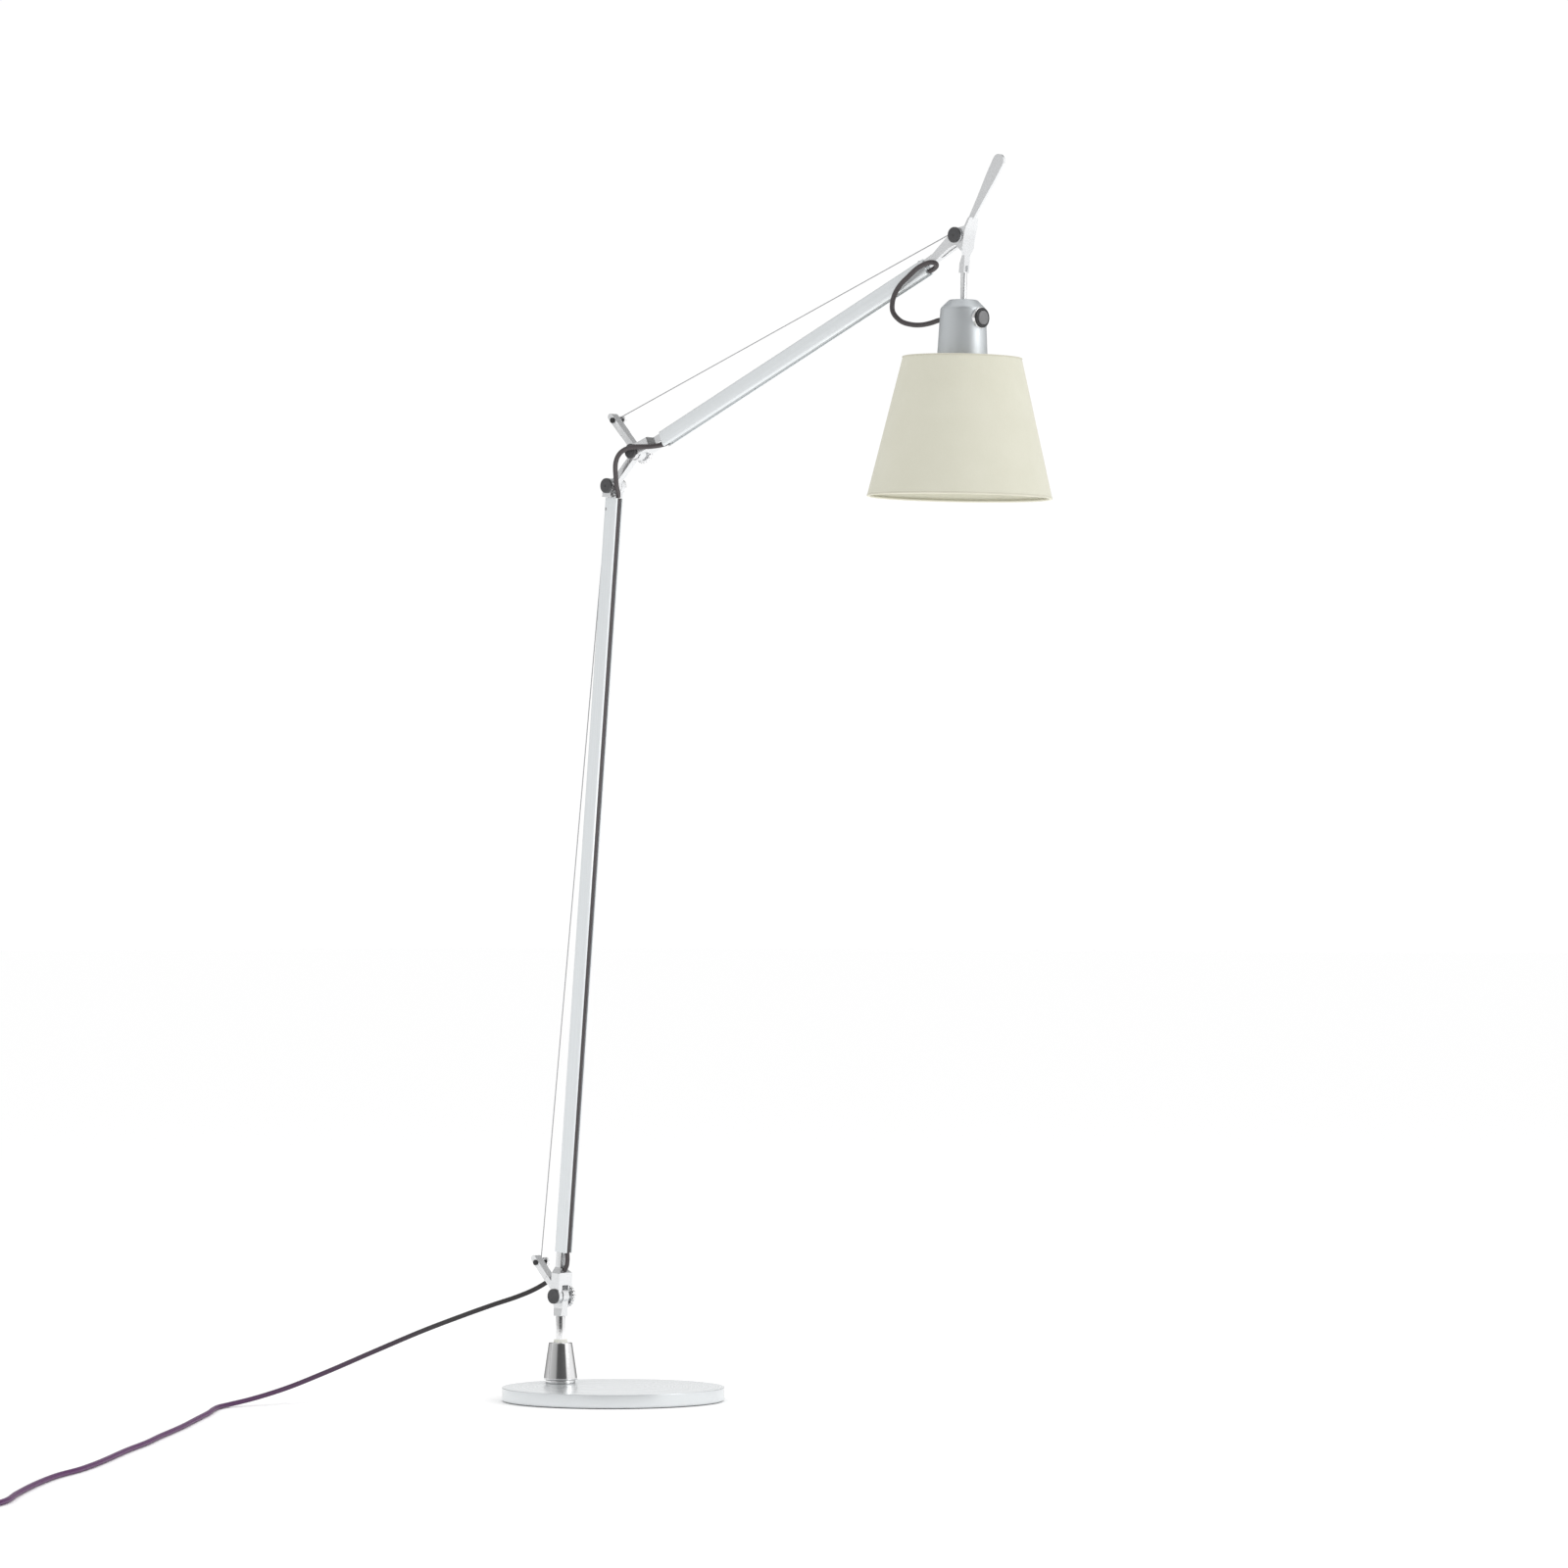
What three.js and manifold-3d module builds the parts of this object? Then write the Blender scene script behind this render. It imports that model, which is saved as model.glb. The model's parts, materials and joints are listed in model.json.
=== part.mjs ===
// Adjustable arm floor lamp, in millimetres, +Z up. The origin is the centre of the base's underside.
// Both arms swing in the XZ plane and reach towards +X; the joints' black caps face -Y.
import * as THREE from 'three';
import { mergeVertices } from 'three/addons/utils/BufferGeometryUtils.js';
import Module from 'manifold-3d';

const wasm = await Module();
wasm.setup();

// ---------------------------------------------------------------- driving dimensions

const GAP = 0.3; // running and fitting gap between neighbouring pieces

const BASE = { radius: 115, height: 14.5, bevel: 3, wall: 2, padHeight: 1.9 };
const STEM_X = -77; // the stem stands off-centre, behind the base's middle
const CONE = { footRadius: 15.5, bottomRadius: 18, topRadius: 12.4, foot: 18.3, top: 57, floor: 25 };
const ROD_RADIUS = 5.25;
const BUSHING = { outer: 7.2, inner: 5.6, top: 60 };

const LOWER_PIVOT_Z = 105;
const LOWER_ARM = { lean: 5.37, axisX: 0, profileStart: 46, profileEnd: 831.7, endPivot: [-2.5, 843.9] };
const UPPER_ARM = { lean: 67.15, axisX: 4.5, profileStart: 39.6, profileEnd: 432.9, endPivot: [-3.8, 484.5] };
const LINK = { length: 49, angle: 43.8 }; // elbow link, its angle above the horizontal
const LEVER = { angle: 133.4, pinDistance: 46.5, pastPin: 5.4, halfWidth: 3.5, halfThickness: 4.5 };

const PROFILE = { halfDepth: 8.25, halfWidth: 5.75, corner: 2.2 }; // depth lies in the arms' plane
const GROOVE = { halfWidth: 3.2, floor: 2.65 }; // cable groove, open on the profile's front (+X) face
const CAVITY = { back: -6.95, front: 1.25, halfWidth: 4.3, corner: 1 }; // holds the balance spring
const CABLE_RADIUS = 2.5;
const GROOVE_CABLE_X = GROOVE.floor + GAP + CABLE_RADIUS; // from the profile's axis

const EYE = { radius: 9, halfThickness: 4 };
const CHEEK = { radius: 7.9, inner: 4.4, outer: 9.5, knobSide: 6.2 }; // fork cheeks beside an eye
const CAP = { radius: 7.75, inner: 9.8, outer: 12 };
const PIN_RADIUS = 2.9;
const PIN_HOLE_RADIUS = PIN_RADIUS + GAP;
const KNOB = { radius: 12.25, inner: 6.6, outer: 11.9, ribs: 18, threadRadius: 2.2 };

const WIRE_RADIUS = 0.6;
const WIRE_Y = 5.8; // the wires leave the levers on the knobs' side
const TIP_PIN_RADIUS = 2;
const TIP_NUT = { radius: 5, inner: 7.2, outer: 11.6 };
const LOWER_PULLEY = { x: -5.5, below: 24, grooveRadius: 4.2, rimRadius: 5.2, halfWidth: 1.6 };
const UPPER_PULLEY = { grooveRadius: 6.6, rimRadius: 7.7, halfWidth: 2.1 };
const SPRING = { outer: 3.6, inner: 2.4 };

const HEAD = { tilt: 1.5, axisX: 4.4 }; // the head's own axis runs a little in front of its pivot
const HANGER = { cheekInner: 6.8, cheekOuter: 9.5, plate: 2.8, halfWidth: 8.6, rodRadius: 3.2, rodTop: -36 };
const HOUSING = {
  top: -63.5, shoulder: -72.5, bottom: -121.6, topRadius: 13.5, shoulderRadius: 22.6, bottomRadius: 25, wall: 2,
};
const SWITCH = { z: -82, barrelRadius: 10.5, bore: 7.4, buttonRadius: 7, front: 24.4 };
const SHADE = { top: -120.8, bottom: -256.4, topRadius: 58.8, bottomRadius: 91, wall: 1.2 };
const RIM_RADIUS = 1.4;
const HOLDER = { top: -92, bottom: -146, radius: 18.5, bore: 14 };
const BULB = { radius: 28, centre: -196, capRadius: 13.4, neckRadius: 12 };

const COIL = { x: 445.5, y: -1269.7, innerRadius: 21.4, outerRadius: 31.9, height: 10.4 };
const COIL_AWAY = new THREE.Vector2(-0.7314, -0.682); // from the coil towards the plug
const PLUG = { length: 34, width: 17, height: 14, tail: 22, tailRadius: 4.2, pinOffset: 4.75 };

const ROUND = { fine: 48, medium: 28, small: 16, tiny: 10 }; // facets round a turned piece

// ---------------------------------------------------------------- geometry helpers

const radians = THREE.MathUtils.degToRad;

/** Six times the enclosed volume, negative when the faces point inwards. */
function signedVolume(geometry) {
  const [a, b, c] = [new THREE.Vector3(), new THREE.Vector3(), new THREE.Vector3()];
  const position = geometry.getAttribute('position');
  const index = geometry.index.array;
  let volume = 0;
  for (let i = 0; i < index.length; i += 3) {
    a.fromBufferAttribute(position, index[i]);
    b.fromBufferAttribute(position, index[i + 1]);
    c.fromBufferAttribute(position, index[i + 2]);
    volume += a.dot(b.cross(c));
  }
  return volume;
}

/** Keeps positions only, merges shared vertices, drops collapsed triangles and faces outwards. */
function closed(geometry) {
  const bare = new THREE.BufferGeometry();
  bare.setAttribute('position', geometry.getAttribute('position').clone());
  if (geometry.index) bare.setIndex(geometry.index.clone());
  const merged = mergeVertices(bare, 1e-4);
  const source = merged.index.array;
  const triangles = [];
  for (let i = 0; i < source.length; i += 3) {
    const [a, b, c] = [source[i], source[i + 1], source[i + 2]];
    if (a !== b && b !== c && c !== a) triangles.push(a, b, c);
  }
  merged.setIndex(triangles);
  if (signedVolume(merged) < 0) merged.setIndex(triangles.reverse());
  return merged;
}

function toSolid(geometry) {
  const merged = closed(geometry);
  const vertProperties = new Float32Array(merged.getAttribute('position').array);
  const triVerts = new Uint32Array(merged.index.array);
  return new wasm.Manifold(new wasm.Mesh({ numProp: 3, vertProperties, triVerts }));
}

function fromSolid(solid) {
  const mesh = solid.getMesh();
  const geometry = new THREE.BufferGeometry();
  geometry.setAttribute('position', new THREE.BufferAttribute(new Float32Array(mesh.vertProperties), 3));
  geometry.setIndex(Array.from(mesh.triVerts));
  return closed(geometry);
}

const combine = (operation, first, others) =>
  fromSolid(others.reduce((solid, other) => solid[operation](toSolid(other)), toSolid(first)));
const join = (first, ...others) => combine('add', first, others);
const cut = (first, ...others) => combine('subtract', first, others);
const overlap = (first, ...others) => combine('intersect', first, others);

const shapeOf = (points) => new THREE.Shape(points.map(([x, y]) => new THREE.Vector2(x, y)));

/** A piece turned about the Y axis from [radius, y] points; the profile is closed if it leaves the axis. */
function turnedY(points, segments) {
  const profile = points.map(([r, y]) => new THREE.Vector2(r, y));
  const onAxis = points[0][0] === 0 && points[points.length - 1][0] === 0;
  if (!onAxis) profile.push(profile[0].clone());
  return closed(new THREE.LatheGeometry(profile, segments));
}

const turnedZ = (points, segments) => turnedY(points, segments).rotateX(Math.PI / 2);
const turnedX = (points, segments) => turnedY(points, segments).rotateZ(-Math.PI / 2);

/** A full cylinder from start to end along an axis, given by its turning function. */
const rodAlong = (turned, radius, start, end, segments = ROUND.tiny) =>
  turned([[0, start], [radius, start], [radius, end], [0, end]], segments);

/** An outline drawn in XZ and carried across in Y. */
function acrossY(shape, from, to, curveSegments = 8) {
  const options = { depth: to - from, bevelEnabled: false, curveSegments };
  return closed(new THREE.ExtrudeGeometry(shape, options).rotateX(Math.PI / 2).translate(0, to, 0));
}

/** An outline drawn in YZ and carried along X. */
function alongX(shape, from, to) {
  const turn = new THREE.Matrix4().makeBasis(
    new THREE.Vector3(0, 1, 0), new THREE.Vector3(0, 0, 1), new THREE.Vector3(1, 0, 0),
  );
  const geometry = new THREE.ExtrudeGeometry(shape, { depth: to - from, bevelEnabled: false });
  return closed(geometry.applyMatrix4(turn).translate(from, 0, 0));
}

function block(low, high) {
  const size = high.map((value, axis) => value - low[axis]);
  const centre = high.map((value, axis) => (value + low[axis]) / 2);
  return new THREE.BoxGeometry(...size).translate(...centre);
}

/** A rectangle with rounded corners, centred at x. */
function roundedRectangle(x, halfX, halfY, corner) {
  const shape = new THREE.Shape();
  const [left, right] = [x - halfX, x + halfX];
  shape.moveTo(left + corner, -halfY);
  shape.lineTo(right - corner, -halfY);
  shape.absarc(right - corner, -halfY + corner, corner, -Math.PI / 2, 0);
  shape.lineTo(right, halfY - corner);
  shape.absarc(right - corner, halfY - corner, corner, 0, Math.PI / 2);
  shape.lineTo(left + corner, halfY);
  shape.absarc(left + corner, halfY - corner, corner, Math.PI / 2, Math.PI);
  shape.lineTo(left, -halfY + corner);
  shape.absarc(left + corner, -halfY + corner, corner, Math.PI, 1.5 * Math.PI);
  return shape;
}

/** A round section with the given sides, carried along a smooth curve through the points. */
function tubeThrough(points, radius, sides, steps) {
  const path = new THREE.CatmullRomCurve3(points.map((p) => new THREE.Vector3(...p)), false, 'centripetal');
  const section = [];
  for (let i = 0; i < sides; i += 1) {
    const angle = (2 * Math.PI * (i + 0.5)) / sides;
    section.push([radius * Math.cos(angle), radius * Math.sin(angle)]);
  }
  const options = { steps, bevelEnabled: false, extrudePath: path };
  return closed(new THREE.ExtrudeGeometry(shapeOf(section), options));
}

const straight = (from, to, radius, sides = 8) => tubeThrough([from, to], radius, sides, 1);

/** A flat bar that starts at the origin and runs up +Z to a rounded tip, before it is turned. */
function roundEndedBar(length, halfWidth, halfThickness) {
  const shape = new THREE.Shape();
  shape.moveTo(-halfWidth, 0);
  shape.lineTo(halfWidth, 0);
  shape.lineTo(halfWidth, length);
  shape.absarc(0, length, halfWidth, 0, Math.PI);
  return acrossY(shape, -halfThickness, halfThickness, 6);
}

const discY = (radius, from, to, segments = ROUND.small) => rodAlong(turnedY, radius, from, to, segments);

/** Turns a piece that points up +Z so that it points at an angle above +X, in the XZ plane. */
const pointAt = (geometry, angle) => geometry.rotateY(radians(90 - angle));

// ---------------------------------------------------------------- the scene graph

const FINISHES = {
  satin: { color: 0xd9dadc, roughness: 0.32, metalness: 0.9 },
  anodised: { color: 0xc2cacc, roughness: 0.38, metalness: 0.85 },
  polished: { color: 0xe6e7e8, roughness: 0.1, metalness: 1 },
  castIron: { color: 0x3b3b3d, roughness: 0.7, metalness: 0.6 },
  rubber: { color: 0x1c1c1d, roughness: 0.8, metalness: 0 },
  blackPlastic: { color: 0x1d1d1f, roughness: 0.45, metalness: 0 },
  greyPlastic: { color: 0x4a4a4c, roughness: 0.5, metalness: 0 },
  nylon: { color: 0xe4e0d6, roughness: 0.5, metalness: 0 },
  cable: { color: 0x2c282b, roughness: 0.55, metalness: 0 },
  plumCable: { color: 0x5a3a5c, roughness: 0.55, metalness: 0 },
  springSteel: { color: 0x9b9da0, roughness: 0.3, metalness: 1 },
  parchment: { color: 0xd8d2bb, roughness: 0.85, metalness: 0 },
  opalGlass: { color: 0xf4f1e8, roughness: 0.2, metalness: 0 },
  porcelain: { color: 0xeeece6, roughness: 0.35, metalness: 0 },
};

const lamp = new THREE.Group();

function groupAt(parent, position, turnY = 0) {
  const group = new THREE.Group();
  group.position.set(...position);
  group.rotation.y = radians(turnY);
  parent.add(group);
  return group;
}

function add(group, name, geometry, finish) {
  const material = new THREE.MeshStandardMaterial(FINISHES[finish]);
  const mesh = new THREE.Mesh(closed(geometry), material);
  mesh.name = name;
  group.add(mesh);
  return mesh;
}

// ---------------------------------------------------------------- base

function addBase() {
  const { radius, height, bevel, wall, padHeight } = BASE;
  const edge = 0.8; // the cover's rim stays clear of the floor
  const screwHole = 4;
  const screwHead = { radius: 6.5, bottom: 3, top: 6.7, hole: 7.5 };
  const atStem = (geometry) => geometry.translate(STEM_X, 0, 0);
  const hole = (r, from, to) => atStem(rodAlong(turnedZ, r, from, to, ROUND.tiny));

  const cover = turnedZ([
    [0, height], [radius - bevel, height], [radius, height - bevel], [radius, edge],
    [radius - wall, edge], [radius - wall, height - bevel - 1], [radius - bevel - 1, height - wall],
    [0, height - wall],
  ], ROUND.fine);
  add(lamp, 'base_cover', cut(cover, hole(screwHole, 0, height + 1)), 'satin');

  const ballastRadius = radius - bevel - 1.5;
  const ballast = rodAlong(turnedZ, ballastRadius, padHeight + GAP, height - wall - GAP, ROUND.fine);
  const counterbore = hole(screwHead.hole, 0, screwHead.top + GAP);
  add(lamp, 'base_ballast', cut(ballast, hole(screwHole, 0, height), counterbore), 'castIron');

  const pad = rodAlong(turnedZ, radius - wall - GAP, 0, padHeight, ROUND.fine);
  add(lamp, 'base_rubber_pad', cut(pad, hole(screwHead.hole, -1, height)), 'rubber');

  const screw = turnedZ([
    [0, screwHead.bottom], [screwHead.radius, screwHead.bottom], [screwHead.radius, screwHead.top],
    [3.2, screwHead.top], [3.2, 23], [0, 23],
  ], ROUND.tiny);
  add(lamp, 'base_clamp_screw', atStem(screw), 'springSteel');

  const ring = turnedZ([
    [screwHole, height + GAP], [CONE.footRadius, height + GAP],
    [CONE.footRadius, CONE.foot], [screwHole, CONE.foot],
  ], ROUND.medium);
  add(lamp, 'socket_foot_ring', atStem(ring), 'polished');

  const cone = turnedZ([
    [3.5, CONE.foot + GAP], [CONE.bottomRadius, CONE.foot + GAP], [CONE.bottomRadius, CONE.foot + 1.3],
    [CONE.topRadius, CONE.top - 1], [CONE.topRadius - 0.8, CONE.top], [BUSHING.outer + GAP, CONE.top],
    [BUSHING.outer + GAP, CONE.floor], [3.5, CONE.floor],
  ], 40);
  add(lamp, 'cone_socket', atStem(cone), 'polished');

  const bushing = turnedZ([
    [BUSHING.inner, CONE.floor + GAP], [BUSHING.outer, CONE.floor + GAP],
    [BUSHING.outer, BUSHING.top], [BUSHING.inner, BUSHING.top],
  ], ROUND.medium);
  add(lamp, 'stem_bushing', atStem(bushing), 'nylon');
}

// ---------------------------------------------------------------- joint hardware

/** A round cap over a pivot's end, with or without a sunk centre dot. */
function capGeometry(dotRadius = 0) {
  const { radius, inner, outer } = CAP;
  const edge = 0.5;
  const dotDepth = 0.6;
  const face = dotRadius ? [[dotRadius, outer], [dotRadius, outer - dotDepth], [0, outer - dotDepth]] : [[0, outer]];
  const cap = turnedY([
    [0, inner], [radius, inner], [radius, outer - edge], [radius - edge, outer], ...face,
  ], 24);
  return cap.rotateX(Math.PI);
}

/** A ribbed hand knob on a pivot pin's thread, on the knobs' side. */
function knobGeometry() {
  const { radius, inner, outer, ribs, threadRadius } = KNOB;
  const ribDepth = 0.7;
  const outline = [];
  for (let i = 0; i < ribs * 2; i += 1) {
    const angle = (Math.PI * i) / ribs;
    const r = i % 2 ? radius - ribDepth : radius;
    outline.push([r * Math.cos(angle), r * Math.sin(angle)]);
  }
  const domed = turnedY([
    [0, inner], [radius - 1, inner], [radius + 0.1, inner + 1], [radius + 0.1, outer - 1.6],
    [radius - 2, outer - 0.4], [radius - 4, outer], [4.5, outer - 1], [0, outer - 1],
  ], ROUND.medium);
  const bore = discY(threadRadius + GAP, inner - 1, outer - 2, ROUND.tiny);
  return cut(overlap(acrossY(shapeOf(outline), inner - 1, outer + 1), domed), bore);
}

/** A pivot pin with a thin threaded end that carries the knob. */
const knobPinGeometry = () => turnedY([
  [0, -CAP.inner + GAP], [PIN_RADIUS, -CAP.inner + GAP], [PIN_RADIUS, KNOB.inner - GAP],
  [KNOB.threadRadius, KNOB.inner - GAP], [KNOB.threadRadius, KNOB.outer - 2.5], [0, KNOB.outer - 2.5],
], ROUND.small);

/** A bolt whose round chrome head stands on the knobs' side. */
const boltGeometry = () => turnedY([
  [0, -CAP.inner + GAP], [PIN_RADIUS, -CAP.inner + GAP], [PIN_RADIUS, CAP.inner], [CAP.radius, CAP.inner],
  [CAP.radius, CAP.outer - 0.7], [CAP.radius - 0.7, CAP.outer], [0, CAP.outer],
], 24);

/** The lever that a balance wire pulls on, pointing up +Z from its pivot. */
function leverGeometry() {
  const { pinDistance, pastPin, halfWidth, halfThickness } = LEVER;
  const rootEnd = CHEEK.radius + 18; // thinner as far as it passes between a fork's cheeks
  const bar = roundEndedBar(pinDistance + pastPin, halfWidth, halfThickness);
  const rootSides = [-1, 1].map((side) => {
    const ys = [side * EYE.halfThickness, side * (halfThickness + 1)].sort((a, b) => a - b);
    return block([-20, ys[0], -1], [20, ys[1], rootEnd]);
  });
  const pinHole = discY(TIP_PIN_RADIUS + GAP, -10, 10, ROUND.tiny).translate(0, 0, pinDistance);
  return cut(bar, ...rootSides, pinHole);
}

/** The wire pin and its round nut, where a lever ends. */
function addLeverTip(group, prefix, pivot) {
  const angle = radians(LEVER.angle);
  const x = pivot[0] + LEVER.pinDistance * Math.cos(angle);
  const z = pivot[1] + LEVER.pinDistance * Math.sin(angle);
  const { halfThickness } = LEVER;
  const pin = turnedY([
    [0, -halfThickness - 1.6], [TIP_PIN_RADIUS + 0.9, -halfThickness - 1.6],
    [TIP_PIN_RADIUS + 0.9, -halfThickness - GAP], [TIP_PIN_RADIUS, -halfThickness - GAP],
    [TIP_PIN_RADIUS, TIP_NUT.outer - 0.8], [0, TIP_NUT.outer - 0.8],
  ], ROUND.small);
  const nut = turnedY([
    [TIP_PIN_RADIUS + GAP, TIP_NUT.inner], [TIP_NUT.radius, TIP_NUT.inner],
    [TIP_NUT.radius, TIP_NUT.outer - 0.8], [TIP_NUT.radius - 0.8, TIP_NUT.outer],
    [TIP_PIN_RADIUS + GAP, TIP_NUT.outer],
  ], ROUND.small);
  add(group, `${prefix}_wire_pin`, pin.translate(x, 0, z), 'blackPlastic');
  add(group, `${prefix}_wire_nut`, nut.translate(x, 0, z), 'polished');
}

// ---------------------------------------------------------------- stem

const stem = groupAt(lamp, [STEM_X, 0, 0]);
const LOWER_PIVOT = [0, LOWER_PIVOT_Z]; // x and z in the stem's group

function addStem() {
  const rodTop = 84;
  const spigot = { radius: 3, top: rodTop + 9 };
  const rod = turnedZ([
    [0, CONE.floor + 0.6], [ROD_RADIUS, CONE.floor + 0.6], [ROD_RADIUS, rodTop],
    [spigot.radius, rodTop], [spigot.radius, spigot.top], [0, spigot.top],
  ], ROUND.medium);
  add(stem, 'stem_rod', rod, 'polished');

  const hubBottom = rodTop + GAP;
  const hubFront = shapeOf([
    [-ROD_RADIUS, hubBottom], [ROD_RADIUS, hubBottom], [7.4, LOWER_PIVOT_Z - 6],
    [7.4, LOWER_PIVOT_Z], [-7.4, LOWER_PIVOT_Z], [-7.4, LOWER_PIVOT_Z - 6],
  ]);
  const hubSide = shapeOf([
    [-ROD_RADIUS, hubBottom], [ROD_RADIUS, hubBottom], [EYE.halfThickness, hubBottom + 8],
    [EYE.halfThickness, LOWER_PIVOT_Z], [-EYE.halfThickness, LOWER_PIVOT_Z],
    [-EYE.halfThickness, hubBottom + 8],
  ]);
  const hub = overlap(acrossY(hubFront, -9, 9), alongX(hubSide, -9, 9));
  const eye = discY(EYE.radius, -EYE.halfThickness, EYE.halfThickness, ROUND.medium)
    .translate(0, 0, LOWER_PIVOT_Z);
  const lever = pointAt(leverGeometry(), LEVER.angle).translate(0, 0, LOWER_PIVOT_Z);
  const pinHole = discY(PIN_HOLE_RADIUS, -10, 10).translate(0, 0, LOWER_PIVOT_Z);
  const socket = rodAlong(turnedZ, spigot.radius + GAP, hubBottom - 1, spigot.top + GAP, ROUND.small);
  add(stem, 'stem_head_lever', cut(join(hub, eye, lever), pinHole, socket), 'polished');

  const atPivot = (geometry) => geometry.translate(0, 0, LOWER_PIVOT_Z);
  add(stem, 'lower_pivot_pin', atPivot(knobPinGeometry()), 'springSteel');
  add(stem, 'lower_pivot_cap', atPivot(capGeometry()), 'greyPlastic');
  add(stem, 'lower_tension_knob', atPivot(knobGeometry()), 'polished');
  addLeverTip(stem, 'lower', LOWER_PIVOT);
}

// ---------------------------------------------------------------- arms
// Each arm's group stands on its lower pivot, with +Z along the profile and +X on the groove's side.

const lowerArm = groupAt(stem, [0, 0, LOWER_PIVOT_Z], LOWER_ARM.lean);

/** Where a point of an arm's group lies in the lamp's frame, as [x, z]. */
function inLampFrame(origin, lean, [x, z]) {
  const angle = radians(lean);
  return [
    origin[0] + x * Math.cos(angle) + z * Math.sin(angle),
    origin[1] - x * Math.sin(angle) + z * Math.cos(angle),
  ];
}

const ELBOW_LOW = inLampFrame([STEM_X, LOWER_PIVOT_Z], LOWER_ARM.lean, LOWER_ARM.endPivot);
const ELBOW_HIGH = [
  ELBOW_LOW[0] + LINK.length * Math.cos(radians(LINK.angle)),
  ELBOW_LOW[1] + LINK.length * Math.sin(radians(LINK.angle)),
];
const HEAD_PIVOT = inLampFrame(ELBOW_HIGH, UPPER_ARM.lean, UPPER_ARM.endPivot);

const upperArm = groupAt(lamp, [ELBOW_HIGH[0], 0, ELBOW_HIGH[1]], UPPER_ARM.lean);

/** The extruded profile, with its cable groove and spring cavity. */
function profileGeometry({ axisX, profileStart, profileEnd }) {
  const outline = roundedRectangle(axisX, PROFILE.halfDepth, PROFILE.halfWidth, PROFILE.corner);
  const cavityHalf = (CAVITY.front - CAVITY.back) / 2;
  const cavityX = axisX + (CAVITY.front + CAVITY.back) / 2;
  outline.holes.push(roundedRectangle(cavityX, cavityHalf, CAVITY.halfWidth, CAVITY.corner));
  const options = { depth: profileEnd - profileStart, bevelEnabled: false, curveSegments: 3 };
  const tube = new THREE.ExtrudeGeometry(outline, options).translate(0, 0, profileStart);
  const groove = block(
    [axisX + GROOVE.floor, -GROOVE.halfWidth, profileStart - 1],
    [axisX + PROFILE.halfDepth + 1, GROOVE.halfWidth, profileEnd + 1],
  );
  return cut(tube, groove);
}

const plugBack = (arm) => arm.axisX + CAVITY.back + GAP;
const plugFront = (arm) => arm.axisX + CAVITY.front - GAP;
const PLUG_DEPTH = 14; // how far a fork's plug reaches into the profile

/** The cast fork at an arm's lower end, open at the back for the lever and the cable. */
function springForkGeometry(arm, cablePath = null) {
  const bodyTop = 25;
  const neckStart = 29;
  const channelTop = 27;
  const webBottom = 12;
  const lean = arm.axisX / 3; // the body leans towards the profile's axis
  const plugHalf = CAVITY.halfWidth - GAP;
  const plugEnd = arm.profileStart + PLUG_DEPTH;
  const side = shapeOf([
    [-6, 0], [6, 0], [6 + lean, bodyTop], [plugFront(arm), neckStart], [plugFront(arm), plugEnd],
    [plugBack(arm), plugEnd], [plugBack(arm), neckStart], [-6 + lean, bodyTop],
  ]);
  const front = shapeOf([
    [-CHEEK.outer, -CHEEK.radius - 1], [CHEEK.outer, -CHEEK.radius - 1], [CHEEK.outer, bodyTop - 1],
    [plugHalf, neckStart + 1], [plugHalf, plugEnd], [-plugHalf, plugEnd], [-plugHalf, neckStart + 1],
    [-CHEEK.outer, bodyTop - 1],
  ]);
  const cheeks = discY(CHEEK.radius, -CHEEK.outer, CHEEK.outer, ROUND.medium);
  const body = overlap(join(acrossY(side, -12, 12), cheeks), alongX(front, -20, 20));
  const backChannel = block([-20, -CHEEK.inner, -20], [1 + lean, CHEEK.inner, channelTop]);
  const frontSlot = block([0, -CHEEK.inner, -20], [20, CHEEK.inner, webBottom]);
  const pinHole = discY(PIN_HOLE_RADIUS, -12, 12);
  const knobRecess = discY(KNOB.radius + GAP, CHEEK.knobSide, 20, ROUND.medium);
  const cableHoles = cablePath ? [tubeThrough(cablePath, CABLE_RADIUS + GAP, 10, 14)] : [];
  const neckSlot = block([-20, -1.1, neckStart + 1.5], [20, 1.1, arm.profileStart - 1.5]);
  return cut(body, backChannel, frontSlot, knobRecess, pinHole, neckSlot, ...cableHoles);
}

/** A wire that passes over a pulley with half a turn, from a lever's tip to a spring's end. */
function wireGeometry(tip, centre, grooveRadius, springEnd) {
  const reach = grooveRadius + WIRE_RADIUS;
  const turnPoints = [];
  const turnSteps = 6;
  for (let i = 0; i <= turnSteps; i += 1) {
    const angle = Math.PI * (1 - i / turnSteps);
    turnPoints.push([centre[0] + reach * Math.cos(angle), 0, centre[1] + reach * Math.sin(angle)]);
  }
  const first = turnPoints[0];
  const last = turnPoints[turnSteps];
  const blend = 0.4; // neighbouring runs reach into each other, so that they join
  const outer = straight(tip, [first[0], 0, first[2] + blend], WIRE_RADIUS);
  const turn = tubeThrough(turnPoints, WIRE_RADIUS, 8, 12);
  const inner = straight([last[0], 0, last[2] + blend], [last[0], 0, springEnd], WIRE_RADIUS);
  return join(outer, turn, inner);
}

/** A grooved pulley, turned about Y. */
function pulleyGeometry({ grooveRadius, rimRadius, halfWidth }, boreRadius) {
  return turnedY([
    [boreRadius, -halfWidth], [rimRadius, -halfWidth], [rimRadius, -halfWidth + 0.4],
    [grooveRadius - GAP, -0.7], [grooveRadius - GAP, 0.7], [rimRadius, halfWidth - 0.4],
    [rimRadius, halfWidth], [boreRadius, halfWidth],
  ], ROUND.small);
}

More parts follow.
